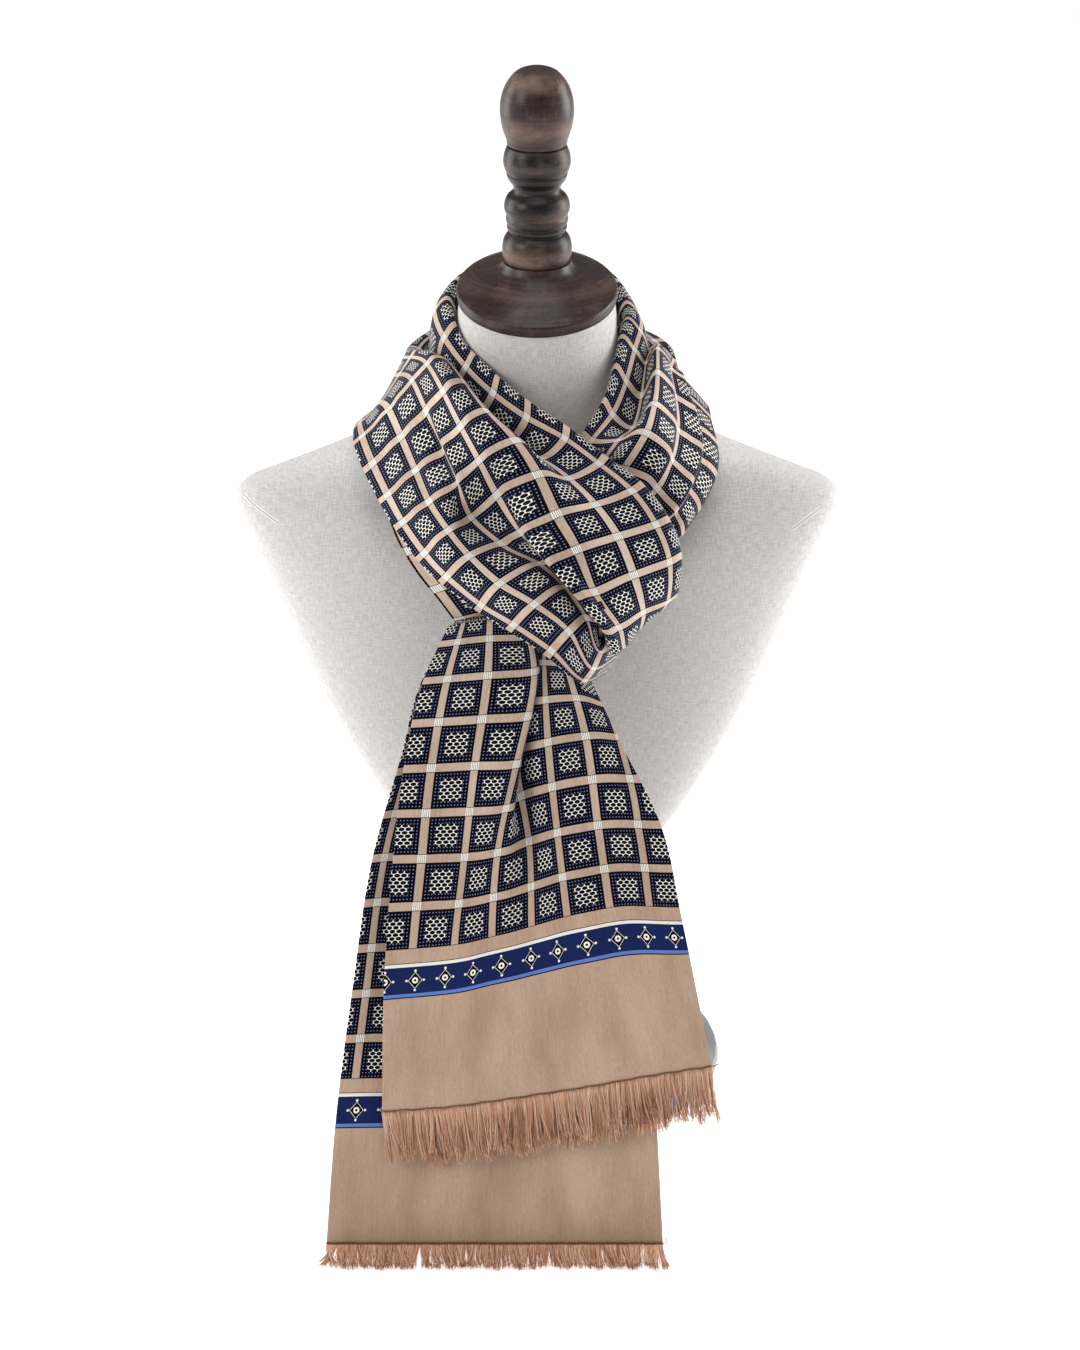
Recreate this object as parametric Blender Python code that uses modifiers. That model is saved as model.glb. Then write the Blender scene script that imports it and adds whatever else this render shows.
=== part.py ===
"""A fringed printed scarf wound once round the neck of a linen dress form.

The scarf is a flat tube of cloth 26 cm wide. Its rear tail rises to the knot, the cloth goes round the
neck folded lengthwise into an inner roll and an outer band, crosses the chest as a wide wrap, and comes
out from under that wrap as the front tail. Tables are in centimetres. The model is in metres, +Z up, with
its origin at the centre of the base's underside, and the front of the bust looks along -Y.
"""
import math

import bmesh
import bpy
import numpy as np
from mathutils import Vector

CM = 0.01
GAP = 0.03               # cm between pieces that touch on the real thing
WALL = 0.14              # cm, two layers of cloth
CUT_GAP = 0.09           # cm drawn back from each side of a cut between two stretches
TILE = 3.5               # cm, the repeat of the woven print

BASE_RADIUS = 15.5
BASE_HEIGHT = 1.6
POLE_RADIUS = 1.25
BUST_BOTTOM = 17.6
HANDLE_TILT = 2.0

FRINGE_LENGTH = 3.5
FRINGE_STRIP = 0.3       # cm, height of the woven strip that holds the strands
FRINGE_STRANDS = 52

# Stripe numbers across the scarf at which a section has a named point: 1 is one tile
STRIPES = {"seam": -1.3, "low": 0.0, "mid": 1.0, "tuck": 1.65, "under": 2.1, "lip": 2.4, "high": 3.0,
           "valley": 4.0, "roll": 5.0, "top": 5.6, "inner": 6.1}

# Sections across the scarf, from the end of the wrap round the neck to the hidden end on the right.
# at: place along the scarf in tiles. seam to roll: points in cm. sink: depth of the valley between the
# outer band and the inner roll. fold: how far the upper part of the wrap overlaps the lower one.
# curl: how far the inner edge turns down against the neck.
SECTIONS = [
    {"at": -2.7, "seam": (5.2, -13.4, 41.7), "low": (6.2, -13.2, 43.2), "mid": (6.9, -12.8, 44.6),
     "lip": (7.4, -12.0, 45.9), "high": (7.8, -11.2, 46.5), "roll": (8.8, -9.6, 47.2),
     "sink": 0.1, "fold": 0.0, "curl": 0.0},
    {"at": -2, "seam": (3.5, -16.5, 42.3), "low": (4.3, -17.3, 43.9), "mid": (4.9, -16.9, 45.1),
     "lip": (5.9, -16.3, 45.0), "high": (6.8, -15.4, 45.0), "roll": (8.8, -11.9, 46.2),
     "sink": 0.0, "fold": 0.0, "curl": 0.0},
    {"at": -1, "seam": (0.7, -16.6, 44.6), "low": (2.4, -18.0, 47.3), "mid": (3.7, -17.0, 48.0),
     "lip": (5.0, -17.4, 47.2), "high": (6.2, -16.8, 47.1), "roll": (10.0, -12.4, 47.3),
     "sink": -0.2, "fold": 0.0, "curl": 0.0},
    {"at": 0, "seam": (-2.2, -16.3, 46.6), "low": (-0.2, -18.0, 49.5), "mid": (2.2, -16.8, 50.5),
     "lip": (3.1, -17.7, 50.2), "high": (4.3, -17.3, 50.2), "roll": (10.1, -13.0, 50.9),
     "sink": -0.2, "fold": 1.0, "curl": 0.0},
    {"at": 1, "seam": (-4.6, -14.4, 47.4), "low": (-2.8, -16.6, 50.6), "mid": (0.1, -15.4, 51.9),
     "lip": (1.0, -16.9, 52.5), "high": (3.0, -16.7, 53.4), "roll": (9.0, -13.4, 54.1),
     "sink": 0.0, "fold": 0.9, "curl": 0.0},
    {"at": 2, "seam": (-7.4, -13.1, 49.2), "low": (-5.1, -15.0, 52.2), "mid": (-2.8, -13.0, 52.5),
     "lip": (-0.9, -14.8, 54.2), "high": (1.5, -14.8, 55.5), "roll": (7.2, -12.0, 56.3),
     "sink": 0.3, "fold": 0.5, "curl": 0.1},
    {"at": 3, "seam": (-9.2, -10.9, 50.2), "low": (-6.7, -12.9, 53.4), "mid": (-5.0, -11.0, 53.8),
     "lip": (-2.4, -12.3, 56.7), "high": (0.1, -12.7, 57.9), "roll": (4.7, -10.4, 57.9),
     "sink": 0.8, "fold": 0.2, "curl": 0.3},
    {"at": 4, "seam": (-11.0, -8.6, 51.9), "low": (-8.2, -9.9, 54.6), "mid": (-6.1, -11.0, 56.7),
     "lip": (-3.7, -12.3, 59.5), "high": (-1.6, -11.2, 60.1), "roll": (2.1, -9.5, 59.6),
     "sink": 1.6, "fold": 0.0, "curl": 0.7},
    {"at": 5, "seam": (-12.3, -5.8, 53.0), "low": (-9.3, -7.1, 56.1), "mid": (-7.3, -8.4, 58.4),
     "lip": (-5.2, -10.2, 61.5), "high": (-3.8, -8.8, 61.6), "roll": (-0.8, -8.1, 60.8),
     "sink": 2.2, "fold": 0.0, "curl": 1.0},
    {"at": 7, "seam": (-14.5, -0.2, 55.8), "low": (-11.5, -1.3, 59.0), "mid": (-9.7, -2.6, 61.9),
     "lip": (-8.0, -4.2, 64.3), "high": (-7.0, -3.5, 63.9), "roll": (-5.5, -3.9, 63.4),
     "sink": 1.5, "fold": 0.0, "curl": 1.0},
    {"at": 9, "seam": (-14.0, 5.6, 55.9), "low": (-12.5, 4.8, 57.7), "mid": (-11.2, 3.8, 60.3),
     "lip": (-10.2, 3.0, 62.7), "high": (-9.3, 2.4, 62.8), "roll": (-8.0, 1.7, 66.2),
     "sink": 2.2, "fold": 0.0, "curl": 1.0},
    {"at": 10.5, "seam": (-11.2, 10.4, 55.4), "low": (-10.0, 9.4, 58.0), "mid": (-8.9, 8.3, 60.6),
     "lip": (-8.0, 7.5, 62.9), "high": (-7.6, 7.2, 62.8), "roll": (-6.3, 6.0, 67.2),
     "sink": 3.0, "fold": 0.0, "curl": 1.0},
    {"at": 13, "seam": (0.0, 13.4, 54.9), "low": (0.0, 12.6, 58.1), "mid": (0.0, 11.6, 61.2),
     "lip": (0.0, 10.6, 63.6), "high": (0.0, 10.2, 63.4), "roll": (0.0, 8.6, 67.4),
     "sink": 3.2, "fold": 0.0, "curl": 1.0},
    {"at": 15.5, "seam": (11.2, 10.4, 55.4), "low": (10.0, 9.4, 58.0), "mid": (8.9, 8.3, 60.6),
     "lip": (8.0, 7.5, 62.9), "high": (7.6, 7.2, 62.8), "roll": (6.3, 6.0, 67.2),
     "sink": 3.0, "fold": 0.0, "curl": 1.0},
    {"at": 17, "seam": (12.8, 6.2, 56.2), "low": (13.1, 5.1, 57.6), "mid": (11.3, 4.2, 60.2),
     "lip": (10.2, 3.3, 62.3), "high": (9.4, 2.4, 63.0), "roll": (8.0, 1.5, 65.9),
     "sink": 1.5, "fold": 0.0, "curl": 1.0},
    {"at": 19, "seam": (11.6, 2.2, 57.5), "low": (13.8, 2.0, 56.9), "mid": (11.6, 1.0, 60.1),
     "lip": (10.3, 0.2, 62.7), "high": (9.4, -0.8, 63.9), "roll": (7.6, -1.2, 63.9),
     "sink": 1.2, "fold": 0.0, "curl": 1.0},
    {"at": 21, "seam": (11.6, -2.3, 55.0), "low": (14.0, -2.3, 53.8), "mid": (12.9, -3.9, 56.3),
     "lip": (10.4, -5.6, 59.9), "high": (9.0, -6.6, 61.4), "roll": (5.8, -5.7, 60.2),
     "sink": 1.6, "fold": 0.0, "curl": 0.9},
    {"at": 22, "seam": (10.6, -4.5, 53.1), "low": (12.6, -5.1, 51.9), "mid": (12.0, -6.9, 54.8),
     "lip": (10.0, -8.4, 58.4), "high": (8.3, -9.0, 59.9), "roll": (4.2, -7.2, 58.6),
     "sink": 0.3, "fold": 0.0, "curl": 0.4},
    {"at": 23, "seam": (9.6, -6.2, 52.0), "low": (11.3, -7.4, 50.9), "mid": (10.8, -8.6, 53.3),
     "lip": (8.6, -9.2, 56.2), "high": (6.6, -9.1, 57.0), "roll": (2.6, -7.7, 56.4),
     "sink": 0.0, "fold": 0.0, "curl": 0.1},
    {"at": 24.2, "seam": (7.8, -6.2, 50.6), "low": (9.2, -7.2, 49.2), "mid": (8.2, -8.8, 51.3),
     "lip": (6.0, -9.6, 53.6), "high": (4.4, -9.5, 54.6), "roll": (1.2, -7.6, 54.0),
     "sink": 0.0, "fold": 0.0, "curl": 0.0},
]

# Stretches of the wound scarf: first and last place along it, in tiles, and steps along it
STRETCHES = {
    "front_wrap": (-2.7, 3.0, 12),
    "left_strand": (3.0, 8.0, 9),
    "back_strand": (8.0, 18.0, 14),
    "right_strand": (18.0, 24.2, 11),
}
FOLD_BACK = np.array([-0.25, 0.8, -0.5])    # the way back into the wrap at its fold
END_STEP = 0.14          # tiles, a short first and last step, so that both sides of a cut stand alike
STEPS_ACROSS = (-1.3, -0.65, 0.0, 0.5, 1.0, 1.35, 1.65, 1.9, 2.1, 2.25, 2.4, 2.65, 3.0, 3.35, 3.7, 4.0, 4.3,
                4.65, 5.0, 5.3, 5.6, 5.85, 6.1)

# The sewn edge of the rear tail's strand, under the left strand. seam: its topstitched edge.
UNDER_SECTIONS = [
    {"seam": (-11.55, -6.57, 52.97), "mid": (-9.65, -7.62, 53.9), "inner": (-7.65, -8.12, 54.5)},
    {"seam": (-10.5, -7.9, 50.8), "mid": (-8.5, -9.1, 51.9), "inner": (-6.3, -9.6, 52.7)},
    {"seam": (-9.0, -9.6, 48.9), "mid": (-6.9, -10.7, 50.1), "inner": (-4.7, -11.2, 50.9)},
    {"seam": (-7.4, -10.9, 47.3), "mid": (-5.4, -12.0, 48.2), "inner": (-3.3, -12.3, 48.8)},
    {"seam": (-6.2, -11.8, 45.8), "mid": (-4.2, -12.8, 46.4), "inner": (-2.2, -13.0, 46.8)},
]

# Sections across the front tail. at: tiles up from the hem. lip: edge of the left panel, which lies over
# the right one. tuck: the cloth behind that edge.
TAIL_STRIPES = {"left": 0.0, "leaf": 5.7, "lip": 9.2, "tuck": 12.2, "slope": 16.2, "field": 19.7,
                "right": 26.0}
FRONT_TAIL = [
    {"at": 11.2, "left": (-6.8, -13.9, 46.0), "leaf": (-3.6, -14.2, 46.6), "lip": (-0.9, -14.6, 46.8),
     "tuck": (-0.2, -13.7, 46.6), "slope": (0.5, -13.7, 46.4), "field": (1.2, -13.9, 46.0),
     "right": (2.2, -13.7, 45.0)},
    {"at": 9.6, "left": (-8.8, -15.7, 41.9), "leaf": (-3.8, -16.0, 42.5), "lip": (-0.3, -15.9, 42.8),
     "tuck": (-0.7, -14.7, 43.0), "slope": (0.6, -15.0, 43.2), "field": (2.2, -15.4, 43.2),
     "right": (4.04, -15.25, 42.2)},
    {"at": 7.6, "left": (-10.3, -17.8, 35.4), "leaf": (-4.8, -18.1, 35.8), "lip": (-1.8, -18.0, 36.0),
     "tuck": (-1.8, -17.0, 36.4), "slope": (0.9, -17.1, 37.4), "field": (3.7, -17.3, 38.0),
     "right": (6.3, -17.0, 37.8)},
    {"at": 5.6, "left": (-11.1, -20.1, 28.8), "leaf": (-5.6, -20.3, 29.1), "lip": (-3.1, -20.2, 29.5),
     "tuck": (-0.9, -19.6, 29.9), "slope": (1.6, -19.4, 30.8), "field": (4.7, -19.4, 31.4),
     "right": (9.6, -19.3, 31.4)},
    {"at": 3.6, "left": (-11.7, -22.7, 21.8), "leaf": (-6.4, -22.6, 22.3), "lip": (-3.5, -22.4, 22.9),
     "tuck": (-0.8, -22.0, 23.4), "slope": (2.4, -21.7, 24.3), "field": (5.7, -21.6, 25.0),
     "right": (11.1, -21.5, 25.0)},
    {"at": 0.0, "left": (-12.0, -26.5, 10.4), "leaf": (-6.3, -26.4, 10.8), "lip": (-2.8, -26.3, 11.3),
     "tuck": (0.2, -26.1, 11.7), "slope": (4.2, -25.9, 12.3), "field": (7.7, -25.7, 12.9),
     "right": (13.5, -25.4, 13.8)},
]
FRONT_TAIL_STEPS = (0.0, 2.8, 5.7, 7.6, 8.6, 9.2, 9.8, 10.8, 12.2, 14.2, 16.2, 18.0, 19.7, 22.8, 26.0)

# Sections across the rear tail. gather: depth of the soft folds that the knot leaves in it.
REAR_TAIL = [
    {"at": 14.0, "left": (-6.25, -11.87, 45.7), "right": (-2.2, -13.07, 46.7), "gather": 0.0},
    {"at": 12.9, "left": (-8.6, -13.9, 42.0), "right": (2.2, -13.6, 42.0), "gather": 0.25},
    {"at": 10.9, "left": (-10.5, -15.9, 35.8), "right": (5.2, -15.7, 36.2), "gather": 0.3},
    {"at": 8.6, "left": (-12.7, -18.6, 28.6), "right": (7.0, -18.4, 29.2), "gather": 0.2},
    {"at": 5.7, "left": (-14.3, -22.1, 19.0), "right": (8.6, -21.9, 19.6), "gather": 0.1},
    {"at": 2.6, "left": (-15.7, -25.9, 8.8), "right": (9.3, -25.8, 9.2), "gather": 0.0},
    {"at": 0.0, "left": (-16.4, -29.4, 0.28), "right": (9.8, -29.4, 0.28), "gather": 0.0},
]
REAR_FOLDS = 3.5         # folds across the rear tail
REAR_STEPS = 17

# Rings of the bust, bottom to top, in cm
BUST_RINGS = [
    {"z": 17.6, "half_width": 3.0, "half_depth": 2.6, "y": 0.3, "tilt": 0, "square": 2.0},
    {"z": 18.0, "half_width": 5.6, "half_depth": 3.5, "y": 0.3, "tilt": 0, "square": 2.0},
    {"z": 19.3, "half_width": 8.0, "half_depth": 4.4, "y": 0.4, "tilt": 0, "square": 2.1},
    {"z": 21.6, "half_width": 10.2, "half_depth": 5.2, "y": 0.5, "tilt": 0, "square": 2.2},
    {"z": 25.2, "half_width": 12.7, "half_depth": 6.0, "y": 0.7, "tilt": 0, "square": 2.2},
    {"z": 33.0, "half_width": 17.0, "half_depth": 6.9, "y": 1.1, "tilt": 0, "square": 2.2},
    {"z": 41.0, "half_width": 20.3, "half_depth": 7.3, "y": 1.5, "tilt": 0, "square": 2.3},
    {"z": 47.0, "half_width": 22.8, "half_depth": 7.1, "y": 2.0, "tilt": 0, "square": 2.4},
    {"z": 50.2, "half_width": 24.1, "half_depth": 6.2, "y": 2.6, "tilt": 0, "square": 2.5},
    {"z": 51.4, "half_width": 23.6, "half_depth": 5.4, "y": 2.9, "tilt": 0, "square": 2.5},
    {"z": 52.3, "half_width": 21.6, "half_depth": 5.0, "y": 3.0, "tilt": 0, "square": 2.4},
    {"z": 53.7, "half_width": 18.0, "half_depth": 5.2, "y": 3.0, "tilt": 0, "square": 2.3},
    {"z": 55.2, "half_width": 14.4, "half_depth": 5.7, "y": 2.9, "tilt": 0, "square": 2.2},
    {"z": 56.8, "half_width": 11.0, "half_depth": 6.2, "y": 2.7, "tilt": 2, "square": 2.1},
    {"z": 58.4, "half_width": 8.6, "half_depth": 6.5, "y": 2.4, "tilt": 4, "square": 2.0},
    {"z": 60.4, "half_width": 7.0, "half_depth": 6.45, "y": 1.9, "tilt": 7, "square": 2.0},
    {"z": 63.0, "half_width": 6.45, "half_depth": 6.3, "y": 1.3, "tilt": 10, "square": 2.0},
    {"z": 65.6, "half_width": 6.25, "half_depth": 6.2, "y": 0.7, "tilt": 13, "square": 2.0},
    {"z": 67.7, "half_width": 6.05, "half_depth": 6.05, "y": 0.2, "tilt": 13, "square": 2.0},
]
RING_POINTS = 40

# Rings of the wooden neck cap, from its underside to the flat that carries the handle
CAP_RINGS = [
    {"z": 67.76, "radius": 6.05, "y": 0.19, "tilt": 13},
    {"z": 67.82, "radius": 6.2, "y": 0.17, "tilt": 13},
    {"z": 68.35, "radius": 6.26, "y": 0.06, "tilt": 13},
    {"z": 68.6, "radius": 6.2, "y": 0.0, "tilt": 13},
    {"z": 68.75, "radius": 5.95, "y": -0.04, "tilt": 13},
    {"z": 69.25, "radius": 5.0, "y": -0.1, "tilt": 12},
    {"z": 69.75, "radius": 3.8, "y": -0.1, "tilt": 9},
    {"z": 70.1, "radius": 2.9, "y": -0.1, "tilt": 5},
    {"z": 70.2, "radius": 2.6, "y": -0.1, "tilt": 2},
]

# Turned profile of the handle: height over its foot and radius
HANDLE_PROFILE = [
    {"z": 15.83, "radius": 0.0}, {"z": 15.78, "radius": 0.75}, {"z": 15.42, "radius": 1.6},
    {"z": 14.6, "radius": 2.3}, {"z": 13.6, "radius": 2.7}, {"z": 12.5, "radius": 2.82},
    {"z": 11.5, "radius": 2.72}, {"z": 10.8, "radius": 2.54}, {"z": 10.3, "radius": 2.36},
    {"z": 9.95, "radius": 2.16}, {"z": 9.4, "radius": 2.46}, {"z": 8.9, "radius": 2.56},
    {"z": 8.4, "radius": 2.58}, {"z": 7.9, "radius": 2.45}, {"z": 7.5, "radius": 2.34},
    {"z": 7.1, "radius": 2.2}, {"z": 6.75, "radius": 1.95}, {"z": 6.45, "radius": 1.8},
    {"z": 6.15, "radius": 1.92}, {"z": 5.75, "radius": 2.3}, {"z": 5.3, "radius": 2.5},
    {"z": 4.8, "radius": 2.52}, {"z": 4.3, "radius": 2.38}, {"z": 3.5, "radius": 2.3},
    {"z": 2.9, "radius": 2.16}, {"z": 2.4, "radius": 2.56}, {"z": 1.85, "radius": 2.68},
    {"z": 1.3, "radius": 2.68}, {"z": 0.8, "radius": 2.58}, {"z": 0.35, "radius": 2.38},
    {"z": 0.0, "radius": 2.2}, {"z": 0.0, "radius": 0.0},
]
HANDLE_FOOT = (0.0, -0.1, 70.24)

COLORS = {
    "print": (0.10, 0.10, 0.20, 1.0),
    "fringe": (0.56, 0.36, 0.24, 1.0),
    "linen": (0.68, 0.66, 0.63, 1.0),
    "wood": (0.055, 0.038, 0.030, 1.0),
    "metal": (0.12, 0.12, 0.13, 1.0),
}


def clear_scene():
    for obj in list(bpy.data.objects):
        bpy.data.objects.remove(obj, do_unlink=True)


def new_collection(name):
    collection = bpy.data.collections.new(name)
    bpy.context.scene.collection.children.link(collection)
    return collection


def make_material(name, color, roughness, metallic=0.0):
    material = bpy.data.materials.new(name)
    material.use_nodes = True
    shader = material.node_tree.nodes["Principled BSDF"]
    shader.inputs["Base Color"].default_value = color
    shader.inputs["Roughness"].default_value = roughness
    shader.inputs["Metallic"].default_value = metallic
    return material


def add_object(name, mesh, material, collection):
    obj = bpy.data.objects.new(name, mesh)
    mesh.materials.append(material)
    collection.objects.link(obj)
    return obj


def unit(vector):
    return vector / max(np.linalg.norm(vector), 1e-9)


def smooth_through(knots, values, places):
    """A cubic curve through values at uneven knots, read at places."""
    knots = np.asarray(knots, float)
    values = np.asarray(values, float)
    slopes = np.gradient(values, knots, axis=0)
    places = np.clip(places, knots[0], knots[-1])
    cell = np.clip(np.searchsorted(knots, places, side="right") - 1, 0, len(knots) - 2)
    width = knots[cell + 1] - knots[cell]
    t = (places - knots[cell]) / width
    shape = (-1,) + (1,) * (values.ndim - 1)
    t = t.reshape(shape)
    width = width.reshape(shape)
    start = values[cell] * (2 * t**3 - 3 * t**2 + 1) + values[cell + 1] * (3 * t**2 - 2 * t**3)
    return start + width * (slopes[cell] * (t**3 - 2 * t**2 + t) + slopes[cell + 1] * (t**3 - t**2))


def scarf_section(row):
    """The named points of one section, with the folds' own points worked out from its measures."""
    point = {name: np.array(row[name]) for name in ("seam", "low", "mid", "lip", "high", "roll")}
    across = unit(point["high"] - point["mid"])
    flat_tuck = point["mid"] * 0.54 + point["lip"] * 0.46
    flat_under = point["mid"] * 0.21 + point["lip"] * 0.79
    deep_tuck = point["mid"] + 2.0 * across + 1.2 * FOLD_BACK
    deep_under = point["lip"] + 0.2 * across + 0.7 * FOLD_BACK
    point["tuck"] = flat_tuck + row["fold"] * (deep_tuck - flat_tuck)
    point["under"] = flat_under + row["fold"] * (deep_under - flat_under)
    point["valley"] = 0.5 * (point["high"] + point["roll"]) + row["sink"] * np.array([0.0, 0.1, -1.0])
    outward = unit(point["roll"] - point["high"])
    flat_top = point["roll"] + 1.1 * outward + np.array([0.0, 0.35, 0.0])
    flat_inner = flat_top + 0.2 * outward + np.array([0.0, 0.8, -0.35])
    neck = np.array([0.0, neck_centre(point["roll"][2]), 0.0])
    toward = unit((neck - point["roll"]) * np.array([1.0, 1.0, 0.0]))
    curl_top = point["roll"] + 1.5 * unit(0.9 * toward + np.array([0.0, 0.0, 0.75]))
    curl_inner = curl_top + 1.6 * unit(0.45 * toward + np.array([0.0, 0.0, -1.0]))
    point["top"] = flat_top + row["curl"] * (curl_top - flat_top)
    point["inner"] = flat_inner + row["curl"] * (curl_inner - flat_inner)
    return np.array([point[name] for name in STRIPES])


def neck_centre(z):
    return np.interp(z, [58.4, 60.4, 63.0, 65.6, 70.0], [2.4, 1.9, 1.3, 0.7, -0.3])


def clear_of_neck(points):
    """Points inside the neck's clearance are moved out to it."""
    points = points.copy()
    centre = neck_centre(points[..., 2])
    away = np.stack([points[..., 0], points[..., 1] - centre], -1)
    distance = np.linalg.norm(away, axis=-1)
    least = np.interp(points[..., 2], [58.4, 60.4, 63.0, 65.6], [8.8, 7.2, 6.65, 6.45])
    short = (distance < least) & (points[..., 2] > 59.0)
    scale = np.where(short, least / np.maximum(distance, 1e-6), 1.0)
    points[..., 0] = away[..., 0] * scale
    points[..., 1] = centre + away[..., 1] * scale
    return points


def scarf_grid(first, last, steps):
    """Rows of points on the wound scarf's outer face between two places along it."""
    stripes = list(STRIPES.values())
    sections = [smooth_through(stripes, scarf_section(row), np.array(STEPS_ACROSS)) for row in SECTIONS]
    inside = np.linspace(first, last, steps + 1)[1:-1]
    places = np.concatenate([[first, first + END_STEP], inside, [last - END_STEP, last]])
    grid = smooth_through([row["at"] for row in SECTIONS], np.array(sections), places)
    return clear_of_neck(grid)


def front_tail_grid():
    widths = list(TAIL_STRIPES.values())
    sections = [smooth_through(widths, [row[name] for name in TAIL_STRIPES], np.array(FRONT_TAIL_STEPS))
                for row in FRONT_TAIL]
    places = [row["at"] for row in FRONT_TAIL]
    return smooth_through(places[::-1], np.array(sections)[::-1], np.linspace(0.0, places[0], 16))


def rear_tail_grid():
    across = np.linspace(0.0, 1.0, REAR_STEPS)
    sections = []
    for row in REAR_TAIL:
        left = np.array(row["left"])
        right = np.array(row["right"])
        line = left + across[:, None] * (right - left)
        line[:, 1] += row["gather"] * np.sin(2 * math.pi * REAR_FOLDS * across)
        sections.append(line)
    places = [row["at"] for row in REAR_TAIL]
    return smooth_through(places[::-1], np.array(sections)[::-1], np.linspace(0.0, places[0], 15))


def under_grid():
    sections = [smooth_through([0, 1, 2], [row["seam"], row["mid"], row["inner"]], np.linspace(0, 2, 6))
                for row in UNDER_SECTIONS]
    return smooth_through(range(len(UNDER_SECTIONS)), np.array(sections), np.linspace(0, 4, 8))


def grid_mesh(name, grid, flip=False):
    """An open surface through rows of points."""
    rows, columns = grid.shape[:2]
    vertices = [tuple(point * CM) for point in grid.reshape(-1, 3)]
    faces = []
    for i in range(rows - 1):
        for j in range(columns - 1):
            a = i * columns + j
            face = (a, a + 1, a + columns + 1, a + columns)
            faces.append(face[::-1] if flip else face)
    mesh = bpy.data.meshes.new(name)
    mesh.from_pydata(vertices, [], faces)
    mesh.shade_smooth()
    return mesh


def add_cloth(name, grid, material, collection, flip=False):
    """A wall of cloth: the grid is its outer face, and the thickness goes in from it."""
    obj = add_object(name, grid_mesh(name, grid, flip), material, collection)
    solidify = obj.modifiers.new("wall", "SOLIDIFY")
    solidify.thickness = WALL * CM
    solidify.offset = -1.0
    solidify.use_rim = True
    return obj


def trim_ends(grid, amount):
    """The grid with its first and last rows drawn back along the cloth, for the gap at a cut."""
    grid = grid.copy()
    for end, beside in ((0, 1), (-1, -2)):
        step = grid[beside] - grid[end]
        length = np.linalg.norm(step, axis=1, keepdims=True)
        grid[end] += step / length * amount
    return grid


def build_scarf(materials, collection):
    for name, (first, last, steps) in STRETCHES.items():
        grid = trim_ends(scarf_grid(first, last, steps), CUT_GAP)
        add_cloth(name, grid, materials["print"], collection)
    add_cloth("under_strand", under_grid(), materials["print"], collection, flip=True)
    add_cloth("front_tail", front_tail_grid(), materials["print"], collection)
    add_cloth("rear_tail", rear_tail_grid(), materials["print"], collection)


def add_fringe(name, edge, down, out, material, collection, strands=FRINGE_STRANDS, bend=0.25, sway=0.04):
    """A woven strip along an edge, with a four-sided strand drawn out of every other cell of it.

    edge is a row of points in cm, down the way that the strands hang, out the way that the strip faces.
    """
    cells = 2 * strands - 1
    lengths = np.concatenate([[0.0], np.cumsum(np.linalg.norm(np.diff(edge, axis=0), axis=1))])
    spread = np.linspace(0.0, lengths[-1], cells + 1)
    line = np.stack([np.interp(spread, lengths, edge[:, k]) for k in range(3)], -1)
    down = unit(np.array(down, float))
    out = unit(np.array(out, float))
    depth = 0.16
    mesh = bmesh.new()
    ring = []
    for point in line:
        corners = (point, point + down * FRINGE_STRIP, point + down * FRINGE_STRIP - out * depth,
                   point - out * depth)
        ring.append([mesh.verts.new(Vector(corner * CM)) for corner in corners])
    mesh.faces.new(ring[0])
    mesh.faces.new(ring[-1][::-1])
    roots = []
    for i in range(cells):
        for side in range(4):
            after = (side + 1) % 4
            face = mesh.faces.new((ring[i][side], ring[i + 1][side], ring[i + 1][after], ring[i][after]))
            if side == 1 and i % 2 == 0:
                roots.append(face)
    along = unit(line[-1] - line[0])
    for number, face in enumerate(roots):
        wave = math.sin(number * 2.4) * 0.6 + math.sin(number * 0.71 + 1.0) * 0.4
        length = (FRINGE_LENGTH - FRINGE_STRIP) * (1.0 + 0.07 * math.sin(number * 1.9))
        for piece in range(2):
            result = bmesh.ops.extrude_discrete_faces(mesh, faces=[face])
            face = result["faces"][0]
            lean = sway * wave * along + bend * (piece - 0.4) * out
            step = down * length / 2 + lean
            centre = face.calc_center_median()
            shrink = 0.8 if piece == 0 else 0.55
            for vertex in face.verts:
                vertex.co = centre + (vertex.co - centre) * shrink + Vector(step * CM)
    bmesh.ops.recalc_face_normals(mesh, faces=mesh.faces[:])
    data = bpy.data.meshes.new(name)
    mesh.to_mesh(data)
    mesh.free()
    return add_object(name, data, material, collection)


def build_fringes(materials, collection):
    front = front_tail_grid()
    hem = front[0]
    hang = unit(front[0][len(hem) // 2] - front[1][len(hem) // 2])
    forward = np.array([0.0, -1.0, 0.35])
    add_fringe("front_fringe", hem + hang * GAP - forward * 0.01, hang + np.array([0.0, 0.12, -0.1]), forward,
               materials["fringe"], collection)
    behind = hem + hang * (GAP + 0.9) - forward * 0.42
    add_fringe("front_fringe_back", behind[4:-1], hang + np.array([0.0, 0.1, -0.1]), forward,
               materials["fringe"], collection, strands=38, bend=0.05)
    rear = rear_tail_grid()[0]
    outside = rear + np.array([0.0, -0.04, 0.02])
    add_fringe("rear_fringe", outside, (0.0, -1.0, -0.01), (0.0, -0.01, 1.0), materials["fringe"], collection,
               bend=0.0, sway=0.05)


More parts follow.
